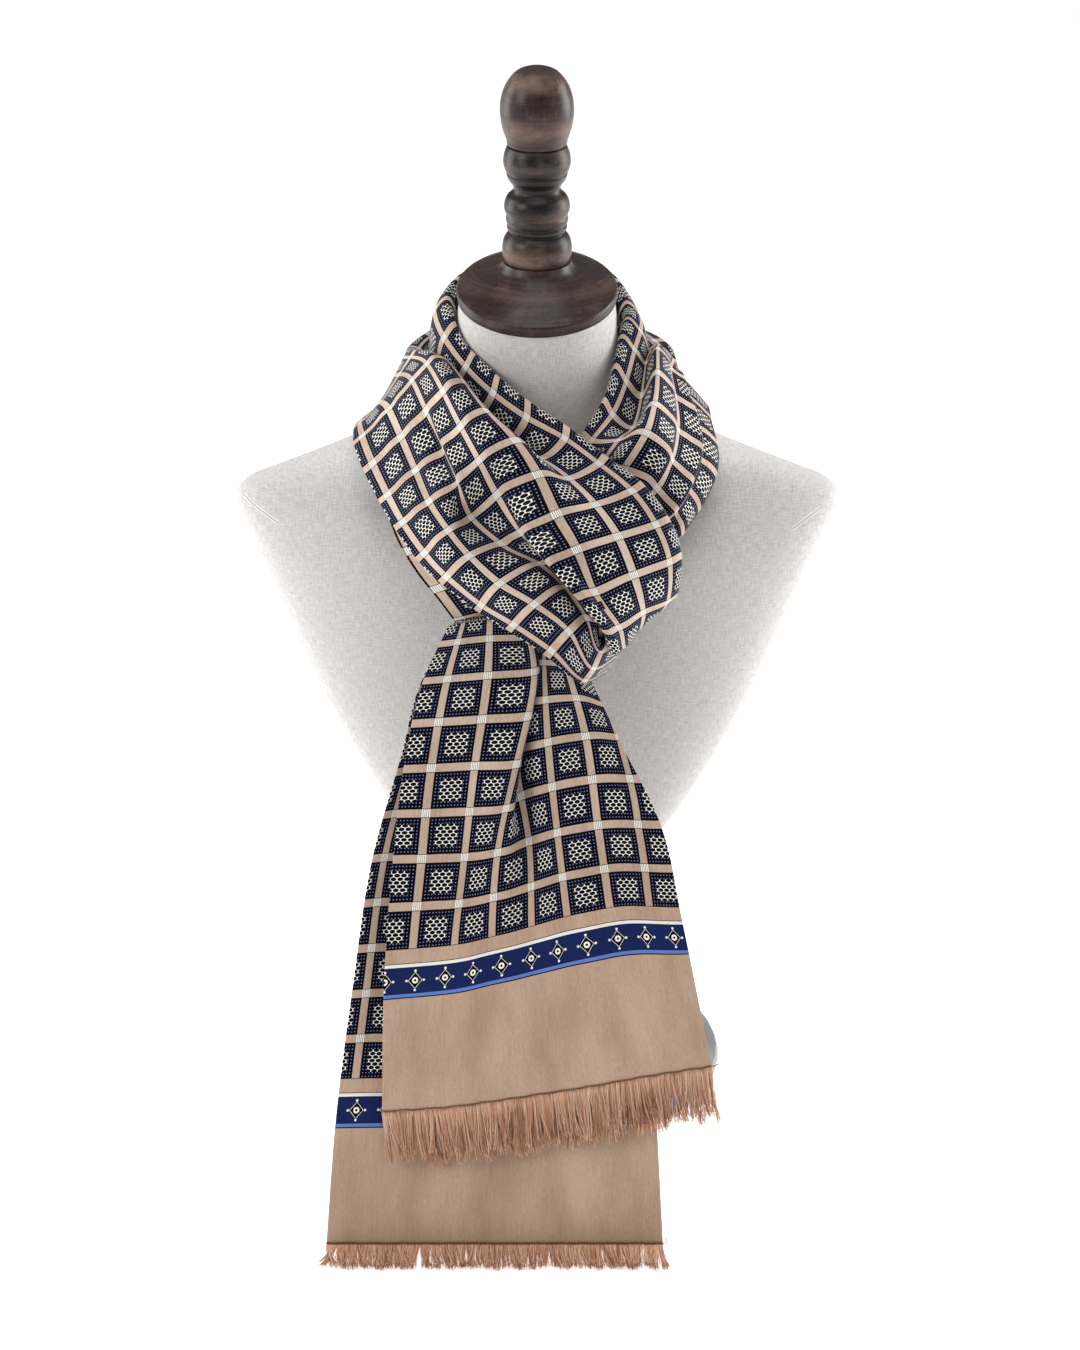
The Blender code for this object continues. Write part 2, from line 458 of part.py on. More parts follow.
def add_rings(name, rings, material, collection):
    """A closed solid lofted through level or tilted rings, bottom to top."""
    mesh = bmesh.new()
    loops = []
    for ring in rings:
        wide = ring.get("half_width", ring.get("radius"))
        deep = ring.get("half_depth", ring.get("radius"))
        power = 2.0 / ring.get("square", 2.0)
        lean = math.radians(ring["tilt"])
        loop = []
        for k in range(RING_POINTS):
            angle = 2 * math.pi * k / RING_POINTS
            x = wide * math.copysign(abs(math.cos(angle)) ** power, math.cos(angle))
            d = deep * math.copysign(abs(math.sin(angle)) ** power, math.sin(angle))
            y = ring["y"] + d * math.cos(lean)
            z = ring["z"] + d * math.sin(lean)
            loop.append(mesh.verts.new((x * CM, y * CM, z * CM)))
        loops.append(loop)
    for lower, upper in zip(loops, loops[1:]):
        for k in range(RING_POINTS):
            n = (k + 1) % RING_POINTS
            mesh.faces.new((lower[k], lower[n], upper[n], upper[k]))
    mesh.faces.new(loops[0][::-1])
    mesh.faces.new(loops[-1])
    data = bpy.data.meshes.new(name)
    mesh.to_mesh(data)
    mesh.free()
    data.shade_smooth()
    data.set_sharp_from_angle(angle=math.radians(40))
    return add_object(name, data, material, collection)


def add_turned(name, profile, material, collection, steps=40):
    """A turned piece: its profile runs down the outer side at +X, from the axis to the axis."""
    mesh = bpy.data.meshes.new(name)
    points = [(row["radius"] * CM, 0.0, row["z"] * CM) for row in profile]
    mesh.from_pydata(points, [(i, i + 1) for i in range(len(points) - 1)], [])
    obj = add_object(name, mesh, material, collection)
    screw = obj.modifiers.new("turn", "SCREW")
    screw.steps = steps
    screw.render_steps = steps
    screw.use_merge_vertices = True
    screw.merge_threshold = 0.00005
    screw.use_smooth_shade = True
    return obj


def build_form(materials, collection):
    base_profile = [{"z": BASE_HEIGHT, "radius": 0.0}, {"z": BASE_HEIGHT, "radius": 13.6},
                    {"z": BASE_HEIGHT - 0.1, "radius": 14.6}, {"z": BASE_HEIGHT - 0.45, "radius": 15.3},
                    {"z": BASE_HEIGHT - 0.9, "radius": BASE_RADIUS}, {"z": 0.3, "radius": 15.4},
                    {"z": 0.0, "radius": 15.1}, {"z": 0.0, "radius": 0.0}]
    add_turned("base_disc", base_profile, materials["metal"], collection, steps=48)
    pole_top = BUST_BOTTOM - GAP
    pole_foot = BASE_HEIGHT + GAP
    pole_profile = [{"z": pole_top, "radius": 0.0}, {"z": pole_top, "radius": POLE_RADIUS},
                    {"z": pole_foot + 1.2, "radius": POLE_RADIUS}, {"z": pole_foot + 0.8, "radius": 2.4},
                    {"z": pole_foot, "radius": 3.0}, {"z": pole_foot, "radius": 0.0}]
    add_turned("stand_pole", pole_profile, materials["metal"], collection, steps=24)
    add_rings("bust_form", BUST_RINGS, materials["linen"], collection)
    add_rings("neck_cap", CAP_RINGS, materials["wood"], collection)
    handle = add_turned("neck_handle", HANDLE_PROFILE, materials["wood"], collection, steps=24)
    handle.location = Vector(HANDLE_FOOT) * CM
    handle.rotation_euler = (math.radians(HANDLE_TILT), 0.0, 0.0)


def main():
    clear_scene()
    collection = new_collection("fringed_scarf_on_dress_form")
    materials = {
        "print": make_material("printed cloth", COLORS["print"], 0.45),
        "fringe": make_material("fringe thread", COLORS["fringe"], 0.6),
        "linen": make_material("linen cover", COLORS["linen"], 0.9),
        "wood": make_material("dark wood", COLORS["wood"], 0.4),
        "metal": make_material("stand metal", COLORS["metal"], 0.4, 0.6),
    }
    build_form(materials, collection)
    build_scarf(materials, collection)
    build_fringes(materials, collection)


main()
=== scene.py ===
"""The fringed printed scarf on its linen dress form: finished cloth, fringe, linen, wood and metal.

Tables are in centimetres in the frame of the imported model. The scarf's own measures are in tiles, the
3.5 cm repeat of its print: u across it and v along it.
"""
import math

import bmesh
import bpy
import numpy as np
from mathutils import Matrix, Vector


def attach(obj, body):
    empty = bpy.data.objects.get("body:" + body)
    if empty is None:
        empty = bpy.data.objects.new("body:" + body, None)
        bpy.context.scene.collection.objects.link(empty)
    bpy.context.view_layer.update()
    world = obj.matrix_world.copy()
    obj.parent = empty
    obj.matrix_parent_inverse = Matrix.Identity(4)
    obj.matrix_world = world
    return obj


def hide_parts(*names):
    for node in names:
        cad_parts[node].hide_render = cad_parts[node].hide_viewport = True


CM = 0.01
TILE = 3.5
SCARF_WIDTH = 26.0
THICK = 0.1  # cm, the flattened tube of cloth
EDGE = 0.16  # cm, over which a folded edge rounds off
CLEAR = 0.02  # cm, how far the finished cloth stands proud of its solid
CLOTH_WELD = 0.000002  # metres, the gap under which points of a cloth become one
TURNED_WELD = 0.00001


def table(columns, *rows):
    """Rows of values as dictionaries, by the names of their columns."""
    return [dict(zip(columns.split(), row)) for row in rows]


# Stripe numbers across the scarf at which a section has a named point: 1 is one tile
STRIPES = {"seam": -1.3, "low": 0.0, "mid": 1.0, "tuck": 1.65, "under": 2.1, "lip": 2.4, "high": 3.0,
           "valley": 4.0, "roll": 5.0, "top": 5.6, "inner": 6.1}

# Sections across the scarf, from the end of the wrap round the neck to the hidden end on the right.
# at: tiles along the scarf. sink: depth of the valley between the outer band and the roll. fold: how far
# the wrap's upper part overlaps the lower one. curl: how far the inner edge turns down against the neck.
SECTIONS = table(
    "at seam low mid lip high roll sink fold curl",
    (-2.7, (5.2, -13.4, 41.7), (6.2, -13.2, 43.2), (6.9, -12.8, 44.6), (7.4, -12.0, 45.9),
     (7.8, -11.2, 46.5), (8.8, -9.6, 47.2), 0.1, 0.0, 0.0),
    (-2, (3.5, -16.5, 42.3), (4.3, -17.3, 43.9), (4.9, -16.9, 45.1), (5.9, -16.3, 45.0),
     (6.8, -15.4, 45.0), (8.8, -11.9, 46.2), 0.0, 0.0, 0.0),
    (-1, (0.7, -16.6, 44.6), (2.4, -18.0, 47.3), (3.7, -17.0, 48.0), (5.0, -17.4, 47.2),
     (6.2, -16.8, 47.1), (10.0, -12.4, 47.3), -0.2, 0.0, 0.0),
    (0, (-2.2, -16.3, 46.6), (-0.2, -18.0, 49.5), (2.2, -16.8, 50.5), (3.1, -17.7, 50.2),
     (4.3, -17.3, 50.2), (10.1, -13.0, 50.9), -0.2, 1.0, 0.0),
    (1, (-4.6, -14.4, 47.4), (-2.8, -16.6, 50.6), (0.1, -15.4, 51.9), (1.0, -16.9, 52.5),
     (3.0, -16.7, 53.4), (9.0, -13.4, 54.1), 0.0, 0.9, 0.0),
    (2, (-7.4, -13.1, 49.2), (-5.1, -15.0, 52.2), (-2.8, -13.0, 52.5), (-0.9, -14.8, 54.2),
     (1.5, -14.8, 55.5), (7.2, -12.0, 56.3), 0.3, 0.5, 0.1),
    (3, (-9.2, -10.9, 50.2), (-6.7, -12.9, 53.4), (-5.0, -11.0, 53.8), (-2.4, -12.3, 56.7),
     (0.1, -12.7, 57.9), (4.7, -10.4, 57.9), 0.8, 0.2, 0.3),
    (4, (-11.0, -8.6, 51.9), (-8.2, -9.9, 54.6), (-6.1, -11.0, 56.7), (-3.7, -12.3, 59.5),
     (-1.6, -11.2, 60.1), (2.1, -9.5, 59.6), 1.6, 0.0, 0.7),
    (5, (-12.3, -5.8, 53.0), (-9.3, -7.1, 56.1), (-7.3, -8.4, 58.4), (-5.2, -10.2, 61.5),
     (-3.8, -8.8, 61.6), (-0.8, -8.1, 60.8), 2.2, 0.0, 1.0),
    (7, (-14.5, -0.2, 55.8), (-11.5, -1.3, 59.0), (-9.7, -2.6, 61.9), (-8.0, -4.2, 64.3),
     (-7.0, -3.5, 63.9), (-5.5, -3.9, 63.4), 1.5, 0.0, 1.0),
    (9, (-14.0, 5.6, 55.9), (-12.5, 4.8, 57.7), (-11.2, 3.8, 60.3), (-10.2, 3.0, 62.7), (-9.3, 2.4, 62.8),
     (-8.0, 1.7, 66.2), 2.2, 0.0, 1.0),
    (10.5, (-11.2, 10.4, 55.4), (-10.0, 9.4, 58.0), (-8.9, 8.3, 60.6), (-8.0, 7.5, 62.9),
     (-7.6, 7.2, 62.8), (-6.3, 6.0, 67.2), 3.0, 0.0, 1.0),
    (13, (0.0, 13.4, 54.9), (0.0, 12.6, 58.1), (0.0, 11.6, 61.2), (0.0, 10.6, 63.6), (0.0, 10.2, 63.4),
     (0.0, 8.6, 67.4), 3.2, 0.0, 1.0),
    (15.5, (11.2, 10.4, 55.4), (10.0, 9.4, 58.0), (8.9, 8.3, 60.6), (8.0, 7.5, 62.9), (7.6, 7.2, 62.8),
     (6.3, 6.0, 67.2), 3.0, 0.0, 1.0),
    (17, (12.8, 6.2, 56.2), (13.1, 5.1, 57.6), (11.3, 4.2, 60.2), (10.2, 3.3, 62.3), (9.4, 2.4, 63.0),
     (8.0, 1.5, 65.9), 1.5, 0.0, 1.0),
    (19, (11.6, 2.2, 57.5), (13.8, 2.0, 56.9), (11.6, 1.0, 60.1), (10.3, 0.2, 62.7), (9.4, -0.8, 63.9),
     (7.6, -1.2, 63.9), 1.2, 0.0, 1.0),
    (21, (11.6, -2.3, 55.0), (14.0, -2.3, 53.8), (12.9, -3.9, 56.3), (10.4, -5.6, 59.9),
     (9.0, -6.6, 61.4), (5.8, -5.7, 60.2), 1.6, 0.0, 0.9),
    (22, (10.6, -4.5, 53.1), (12.6, -5.1, 51.9), (12.0, -6.9, 54.8), (10.0, -8.4, 58.4),
     (8.3, -9.0, 59.9), (4.2, -7.2, 58.6), 0.3, 0.0, 0.4),
    (23, (9.6, -6.2, 52.0), (11.3, -7.4, 50.9), (10.8, -8.6, 53.3), (8.6, -9.2, 56.2), (6.6, -9.1, 57.0),
     (2.6, -7.7, 56.4), 0.0, 0.0, 0.1),
    (24.2, (7.8, -6.2, 50.6), (9.2, -7.2, 49.2), (8.2, -8.8, 51.3), (6.0, -9.6, 53.6), (4.4, -9.5, 54.6),
     (1.2, -7.6, 54.0), 0.0, 0.0, 0.0),
)
FOLD_BACK = np.array([-0.25, 0.8, -0.5])
FIELD_START = 40.0  # tiles, added along the loop, which keeps its print away from the end border

# The strand that shows under the left one, from its upper end down, 0.75 tiles apart along the scarf
UNDER_SECTIONS = table(
    "seam mid inner",
    ((-11.8, -6.6, 52.75), (-9.65, -7.62, 53.9), (-7.65, -8.12, 54.5)),
    ((-10.8, -8.0, 50.55), (-8.6, -9.1, 51.8), (-6.3, -9.6, 52.7)),
    ((-9.3, -9.7, 48.6), (-7.0, -10.7, 50.0), (-4.7, -11.2, 50.9)),
    ((-7.7, -11.0, 47.0), (-5.5, -12.0, 48.1), (-3.3, -12.3, 48.8)),
    ((-6.4, -11.9, 45.5), (-4.2, -12.8, 46.4), (-2.2, -13.0, 46.8)),
)
UNDER_WIDTH = 4.2
UNDER_PITCH = 0.75
UNDER_LEFT = 0.5  # cm from the topstitched edge to the first stripe

# Centimetres across the front tail at which a section has a named point
TAIL_STRIPES = {"left": 0.0, "leaf": 5.7, "lip": 9.2, "tuck": 12.2, "slope": 16.2, "field": 19.7,
                "right": SCARF_WIDTH}
# Sections across the tails, from the wrap down. at: tiles up from the hem.
FRONT_TAIL = table(
    "at left leaf lip tuck slope field right",
    (11.2, (-6.8, -13.9, 46.0), (-3.6, -14.2, 46.6), (-0.9, -14.6, 46.8), (-0.2, -13.7, 46.6),
     (0.5, -13.7, 46.4), (1.2, -13.9, 46.0), (2.2, -13.7, 45.0)),
    (9.6, (-8.8, -15.7, 41.9), (-3.8, -16.0, 42.5), (-0.3, -15.9, 42.8), (-0.7, -14.7, 43.0),
     (0.6, -15.0, 43.2), (2.2, -15.4, 43.2), (4.04, -15.25, 42.2)),
    (7.6, (-10.3, -17.8, 35.4), (-4.8, -18.1, 35.8), (-1.8, -18.0, 36.0), (-1.8, -17.0, 36.4),
     (0.9, -17.1, 37.4), (3.7, -17.3, 38.0), (6.3, -17.0, 37.8)),
    (5.6, (-11.1, -20.1, 28.8), (-5.6, -20.3, 29.1), (-3.1, -20.2, 29.5), (-0.9, -19.6, 29.9),
     (1.6, -19.4, 30.8), (4.7, -19.4, 31.4), (9.6, -19.3, 31.4)),
    (3.6, (-11.7, -22.7, 21.8), (-6.4, -22.6, 22.3), (-3.5, -22.4, 22.9), (-0.8, -22.0, 23.4),
     (2.4, -21.7, 24.3), (5.7, -21.6, 25.0), (11.1, -21.5, 25.0)),
    (0.0, (-12.0, -26.5, 10.4), (-6.3, -26.4, 10.8), (-2.8, -26.3, 11.3), (0.2, -26.1, 11.7),
     (4.2, -25.9, 12.3), (7.7, -25.7, 12.9), (13.5, -25.4, 13.8)),
)
# gather: cm by which the cloth waves to and fro
REAR_TAIL = table(
    "at left right gather",
    (14.0, (-6.25, -11.87, 45.7), (-2.2, -13.07, 46.7), 0.0),
    (12.9, (-8.6, -13.9, 42.0), (2.2, -13.6, 42.0), 0.25),
    (10.9, (-10.5, -15.9, 35.8), (5.2, -15.7, 36.2), 0.3),
    (8.6, (-12.7, -18.6, 28.6), (7.0, -18.4, 29.2), 0.2),
    (5.7, (-14.3, -22.1, 19.0), (8.6, -21.9, 19.6), 0.1),
    (2.6, (-15.7, -25.9, 8.8), (9.3, -25.8, 9.2), 0.0),
    (0.0, (-16.4, -29.4, 0.28), (9.8, -29.4, 0.28), 0.0),
)
REAR_FOLDS = 3.5
TAIL_STEP = 0.26
# Where the print starts on each tail. left: cm to the first stripe. hem: tiles up to the border's v = 0.
FRONT_START = {"left": 2.2, "hem": 2.6}
REAR_START = {"left": 1.25, "hem": 2.47}
BORDER_SHIFT = 0.08  # tiles, the end border lies this much lower than the tiles would put it
# How much shows of the front tail's print past stripe 5: the rest is folded away behind, more so higher up
FIRST_AWAY = 5.0
SHOWN = table("v share", (1.0, 1.0), (2.9, 0.9), (4.9, 0.55), (7.0, 0.4))

# The form's neck. y: its centre. clear: how far from the centre the cloth has to stay.
NECK = table("z y clear", (58.4, 2.4, 8.8), (60.4, 1.9, 7.2), (63.0, 1.3, 6.65), (65.6, 0.7, 6.45),
             (70.0, -0.3, 6.45))
NECK_FOOT = 59.0

# Soft creases. line: (u, v) points. out: cm, minus for a trough. wide, fade: tiles.
LOOP_CREASES = table(
    "line out wide fade",
    ([(0.8, 2.4), (0.84, 3.5), (0.86, 4.5), (0.9, 6.4)], -0.52, 0.23, 1.4),
    ([(1.2, 2.2), (1.22, 3.5), (1.25, 4.5), (1.3, 6.4)], 0.44, 0.3, 1.4),
    ([(-0.45, 1.5), (-0.4, 4), (-0.3, 6), (-0.1, 8.5)], 0.22, 0.3, 1.0),
    ([(0.25, 2.5), (0.3, 4), (0.35, 6), (0.4, 8)], 0.16, 0.25, 1.0),
    ([(2.6, -2.3), (2.5, 0.5), (2.5, 2.4)], 0.5, 0.22, 0.7),
    ([(0.95, -1.2), (1.15, 0.5), (1.1, 2.4)], -0.4, 0.25, 0.7),
    ([(1.75, -2.5), (1.75, -1), (1.8, 0.3)], -1.0, 0.3, 0.7),
    ([(2.1, -3.5), (2.08, -2.0), (2.0, -0.9)], -1.1, 0.17, 0.6),
    ([(4.2, -1.0), (4.0, 1.0), (3.8, 3.0)], 0.2, 0.4, 1.0),
    ([(0.3, 10.2), (0.6, 12.5), (0.2, 15), (0.5, 17.2)], -0.95, 0.3, 1.4),
    ([(1.6, 10.2), (1.4, 12), (1.8, 14), (1.5, 17.5)], 0.95, 0.28, 1.4),
    ([(2.4, 10.5), (2.6, 12.5), (2.3, 15), (2.5, 17)], -0.85, 0.22, 1.2),
    ([(0.95, 10), (1.05, 12), (1.0, 14), (1.1, 17)], -0.95, 0.24, 1.4),
    ([(-0.1, 10.5), (-0.2, 12.5), (0.0, 15.5), (-0.1, 16.8)], 0.8, 0.26, 1.4),
    ([(-0.6, 10.5), (-0.5, 13), (-0.7, 15.6)], -0.45, 0.25, 1.2),
    ([(3.6, 10.5), (3.5, 13), (3.7, 17)], 0.5, 0.3, 1.2),
    ([(1.0, 18), (0.85, 20), (0.85, 22), (0.85, 24)], -0.45, 0.22, 0.8),
    ([(1.35, 18), (1.25, 20), (1.2, 22), (1.2, 24)], 0.4, 0.26, 0.8),
    ([(2.0, 18.5), (1.95, 20.5), (1.9, 23)], -0.3, 0.2, 0.8),
    ([(0.2, 17.5), (0.15, 20), (0.25, 22.5)], 0.12, 0.24, 1.0),
    ([(-0.6, 18.5), (-0.55, 20), (-0.6, 22.5)], -0.35, 0.24, 1.0),
)
TAIL_CREASES = table(
    "line out wide fade",
    ([(1.1, -2.2), (1.4, 1.0), (1.7, 4.5), (1.9, 7.0)], 0.28, 0.45, 2.0),
    ([(3.1, -2.6), (3.0, 1.0), (2.8, 4.0), (2.5, 7.0)], -0.3, 0.4, 1.6),
    ([(3.05, 1.5), (3.05, 5.0), (3.0, 9.0)], -0.9, 0.34, 2.6),
    ([(3.9, 1.5), (3.8, 5.0), (3.7, 9.0)], 0.35, 0.36, 2.4),
    ([(2.3, 0.5), (2.35, 5.0), (2.3, 9.0)], 0.5, 0.32, 2.6),
    ([(4.4, -2.6), (4.5, 1.5), (4.3, 4.5)], 0.25, 0.4, 1.4),
    ([(5.6, -2.2), (5.5, 1.0), (5.3, 3.5)], -0.18, 0.35, 1.2),
    ([(0.2, 0.5), (0.5, 3.5), (0.9, 6.0)], -0.2, 0.3, 1.4),
)
REAR_CREASES = table(
    "line out wide fade",
    ([(1.6, -2.4), (1.7, 0.5), (1.9, 4.0)], 0.22, 0.5, 1.4),
    ([(3.6, -2.4), (3.4, 1.0), (3.2, 5.0)], -0.22, 0.5, 1.4),
    ([(5.4, -2.4), (5.2, 1.0), (4.9, 5.0)], 0.2, 0.5, 1.4),
    ([(0.3, 1.0), (0.5, 4.0), (0.7, 8.0)], -0.2, 0.3, 1.4),
)

# Threads, in centimetres
STITCH_PITCH = 0.3
STITCH_LENGTH = 0.17
STITCH_RADIUS = 0.022
STITCH_COLUMN = 3  # the cloth's column of points that carries the stitches
HEM_RADIUS = 0.045
HEM_RISE = 0.12  # how far the hem thread lies above the edge
THREAD_RADIUS = 0.033
THREAD_TAPER = 0.45  # share of the radius that a fringe thread loses to its tip
THREAD_STEPS = 7
LOCK_WIDTH = 0.4
TUBE_SIDES = 6
FORWARD = np.array([0.0, -1.0, 0.35])
BACK_LAYER = slice(16, -2)  # the hem's points over the second layer of the front fringe

# Rings of the bust and its wooden cap, bottom to top. square: 2 is an ellipse, more is a fuller one.
BUST_RINGS = table(
    "z half_width half_depth y tilt square",
    (17.6, 3.0, 2.6, 0.3, 0, 2.0),
    (18.0, 5.6, 3.5, 0.3, 0, 2.0),
    (19.3, 8.0, 4.4, 0.4, 0, 2.1),
    (21.6, 10.2, 5.2, 0.5, 0, 2.2),
    (25.2, 12.7, 6.0, 0.7, 0, 2.2),
    (33.0, 17.0, 6.9, 1.1, 0, 2.2),
    (41.0, 20.3, 7.3, 1.5, 0, 2.3),
    (47.0, 22.8, 7.1, 2.0, 0, 2.4),
    (50.2, 24.1, 6.2, 2.6, 0, 2.5),
    (51.4, 23.6, 5.4, 2.9, 0, 2.5),
    (52.3, 21.6, 5.0, 3.0, 0, 2.4),
    (53.7, 18.0, 5.2, 3.0, 0, 2.3),
    (55.2, 14.4, 5.7, 2.9, 0, 2.2),
    (56.8, 11.0, 6.2, 2.7, 2, 2.1),
    (58.4, 8.6, 6.5, 2.4, 4, 2.0),
    (60.4, 7.0, 6.45, 1.9, 7, 2.0),
    (63.0, 6.45, 6.3, 1.3, 10, 2.0),
    (65.6, 6.25, 6.2, 0.7, 13, 2.0),
    (67.7, 6.05, 6.05, 0.2, 13, 2.0),
)
CAP_RINGS = table(
    "z radius y tilt",
    (67.76, 6.05, 0.19, 13),
    (67.82, 6.2, 0.17, 13),
    (68.35, 6.26, 0.06, 13),
    (68.6, 6.2, 0.0, 13),
    (68.75, 5.95, -0.04, 13),
    (69.25, 5.0, -0.1, 12),
    (69.75, 3.8, -0.1, 9),
    (70.1, 3.1, -0.1, 5),
    (70.4, 2.78, -0.1, 3),
    (70.75, 2.62, -0.1, 2),
)
RING_COLUMNS = ("z", "half_width", "half_depth", "y", "tilt", "square")
SHARP_ANGLE = 50.0
# Places (x, z) of the short seams on the shoulders
SHOULDER_SEAMS = table("start end", ((-23.4, 51.05), (-20.55, 49.6)), ((22.6, 50.4), (20.3, 49.2)))
SEAM_BACK = 0.028  # metres, the depth behind which a shoulder seam isn't drawn

# Profile of the turned handle, from its top down. z: height above its foot.
HANDLE_PROFILE = table(
    "z radius",
    (15.83, 0.0), (15.78, 0.75), (15.42, 1.6), (14.6, 2.3), (13.6, 2.7), (12.5, 2.82), (11.51, 2.72),
    (10.8, 2.54), (10.3, 2.36), (9.9, 2.28), (9.8, 2.12), (9.7, 2.28), (9.3, 2.46), (8.87, 2.56),
    (8.38, 2.58), (7.9, 2.45), (7.6, 2.3), (7.51, 2.34), (7.12, 2.2), (6.78, 1.95), (6.43, 1.8),
    (6.14, 1.92), (5.75, 2.3), (5.27, 2.5), (4.78, 2.52), (4.29, 2.36), (4.09, 2.4), (3.8, 2.38),
    (3.51, 2.26), (3.41, 2.32), (3.12, 2.28), (2.92, 2.14), (2.78, 2.3), (2.39, 2.56), (1.85, 2.68),
    (1.27, 2.68), (0.78, 2.58), (0.34, 2.38), (0.1, 2.2), (0.0, 2.15),
)
HANDLE_FOOT = (0.0, -0.1, 70.24)
HANDLE_TILT = 2.0
HANDLE_SIDES = 96
HANDLE_STEPS = 5
# Paler bands, their height and reach in cm: the two round the ball, at 85.2 and 81.5, are painted
# reflections of the lamp above and of the floor
PALE_BANDS = table(
    "z wide share",
    (85.2, 1.0, 0.75), (81.5, 1.4, 0.6), (78.6, 0.5, 0.3), (74.5, 0.5, 0.45), (71.4, 0.9, 0.7),
    (68.9, 0.5, 0.25),
)
BEADS_MIDDLE = 76.3
BEADS_REACH = 4.1

# Tones of the print as they show on screen
# the stripes' tones are paler and less red than the hem's: painted sheen on the stripes
SILK = "d4c1b1"
SILK_SHADE = "a9917f"
HEM = "c4a994"
HEM_SHADE = "a58973"
NIGHT = "05050d"
LINE = "0d0c14"
DOT = "7c82ae"
NET = "f0eee4"
BAND = "1b2654"
RIBBON = "5f7cc0"

# Measures of the print in tiles
DOT_PITCH = 0.0765
DOT_SIZE = 0.036  # a dot's squared radius, in pitches
NET_REACH = 3.2  # half the net's side, in pitches
OVAL_WIDE = 0.87  # share of two pitches that an oval of the net is wide
OVAL_HIGH = 0.53
STRIPE_HALF = 0.103
LINE_HALF = 0.014
RULE_PITCH = 0.041
RULE_HALF = 0.13  # in pitches of the rules
# Heights of the end border in tiles, each where the part that lies above it ends
FIELD_FOOT = 1.106  # below it the plain stripe
STRIPE_FOOT = 0.88  # the white line
WHITE_FOOT = 0.786  # the navy band
BAND_FOOT = 0.19  # the light blue line
RIBBON_FOOT = 0.115  # a thin dark line
LINE_FOOT = 0.088  # the plain hem
MEDALLION_HEIGHT = 0.486
MEDALLION_FIRST = 0.1
MEDALLION_PITCH = 0.7114

# The photo's camera and the studio, in metres, millimetres of lens, degrees and watts
CAMERA = {"place": (0.0023, -2.489, 1.465), "tilt": 66.0, "lens": 89.12, "sensor": 36.0, "reach": 50.0}
FLOOR_HALF = 3000.0  # cm
LIGHTS = table(
    "name place target size power",
    ("key_left", (-2.1, -1.3, 1.8), (0.0, 0.0, 0.45), (0.9, 0.9), 25.0),
    ("key_right", (2.1, -1.2, 1.7), (0.0, 0.0, 0.45), (0.9, 0.9), 5.0),
    ("side_left", (-1.6, 0.5, 0.9), (0.0, 0.0, 0.45), (0.9, 1.4), 20.0),
    ("side_right", (1.7, 0.5, 0.95), (0.0, 0.0, 0.45), (0.9, 1.4), 33.0),
    ("top", (0.0, -0.4, 2.3), (0.0, -0.1, 0.4), (1.2, 1.2), 12.0),
)


def tone(code):
    """A colour written as on screen, such as "c0a68e", as linear values."""
    parts = [int(code[i:i + 2], 16) / 255 for i in (0, 2, 4)]
    return tuple(c / 12.92 if c <= 0.04045 else ((c + 0.055) / 1.055) ** 2.4 for c in parts) + (1.0,)


def feed(tree, slot, item):
    """Gives a node's input a signal, another node's output, a colour's code or a plain value."""
    if isinstance(item, Signal):
        item = item.socket
    if isinstance(item, bpy.types.NodeSocket):
        tree.links.new(item, slot)
    else:
        slot.default_value = tone(item) if isinstance(item, str) else item


def parts_of(tree, kind, output):
    """The three parts of a coordinate node's output."""
    split = tree.nodes.new("ShaderNodeSeparateXYZ")
    tree.links.new(tree.nodes.new(kind).outputs[output], split.inputs[0])
    return [Signal(tree, socket) for socket in split.outputs]


def math_node(kind):
    """A method of Signal that makes one math node from it and from what else the node takes."""

    def method(signal, *others):
        node = signal.tree.nodes.new("ShaderNodeMath")
        node.operation = kind
        for slot, item in zip(node.inputs, (signal,) + others):
            feed(signal.tree, slot, item)
        return Signal(signal.tree, node.outputs[0])

    return method


class Signal:
    """A number in a node tree, with the usual arithmetic."""

    __add__ = math_node("ADD")
    __sub__ = math_node("SUBTRACT")
    __mul__ = math_node("MULTIPLY")
    __truediv__ = math_node("DIVIDE")
    below = math_node("LESS_THAN")
    above = math_node("GREATER_THAN")
    least = math_node("MINIMUM")
    most = math_node("MAXIMUM")
    size = math_node("ABSOLUTE")
    floor = math_node("FLOOR")
    root = math_node("SQRT")

    def __init__(self, tree, socket):
        self.tree = tree
        self.socket = socket

    def squared(self):
        return self * self

    def from_nearest(self):
        """How far it is from the nearest whole number."""
        return self - (self + 0.5).floor()

    def from_middle(self):
        """How far it is from the middle between the whole numbers on both sides of it."""
        return self - self.floor() - 0.5

    def is_near(self, value, reach):
        """1 where it is less than reach away from a value, and 0 elsewhere."""
        return (self - value).size().below(reach)

    def span(self, low, high, to_low=0.0, to_high=1.0, smooth=False):
        """It goes from to_low to to_high while this goes from low to high, and no further."""
        node = self.tree.nodes.new("ShaderNodeMapRange")
        node.interpolation_type = "SMOOTHSTEP" if smooth else "LINEAR"
        values = {"Value": self, "From Min": low, "From Max": high, "To Min": to_low, "To Max": to_high}
        for key, value in values.items():
            feed(self.tree, node.inputs[key], value)
        return Signal(self.tree, node.outputs["Result"])


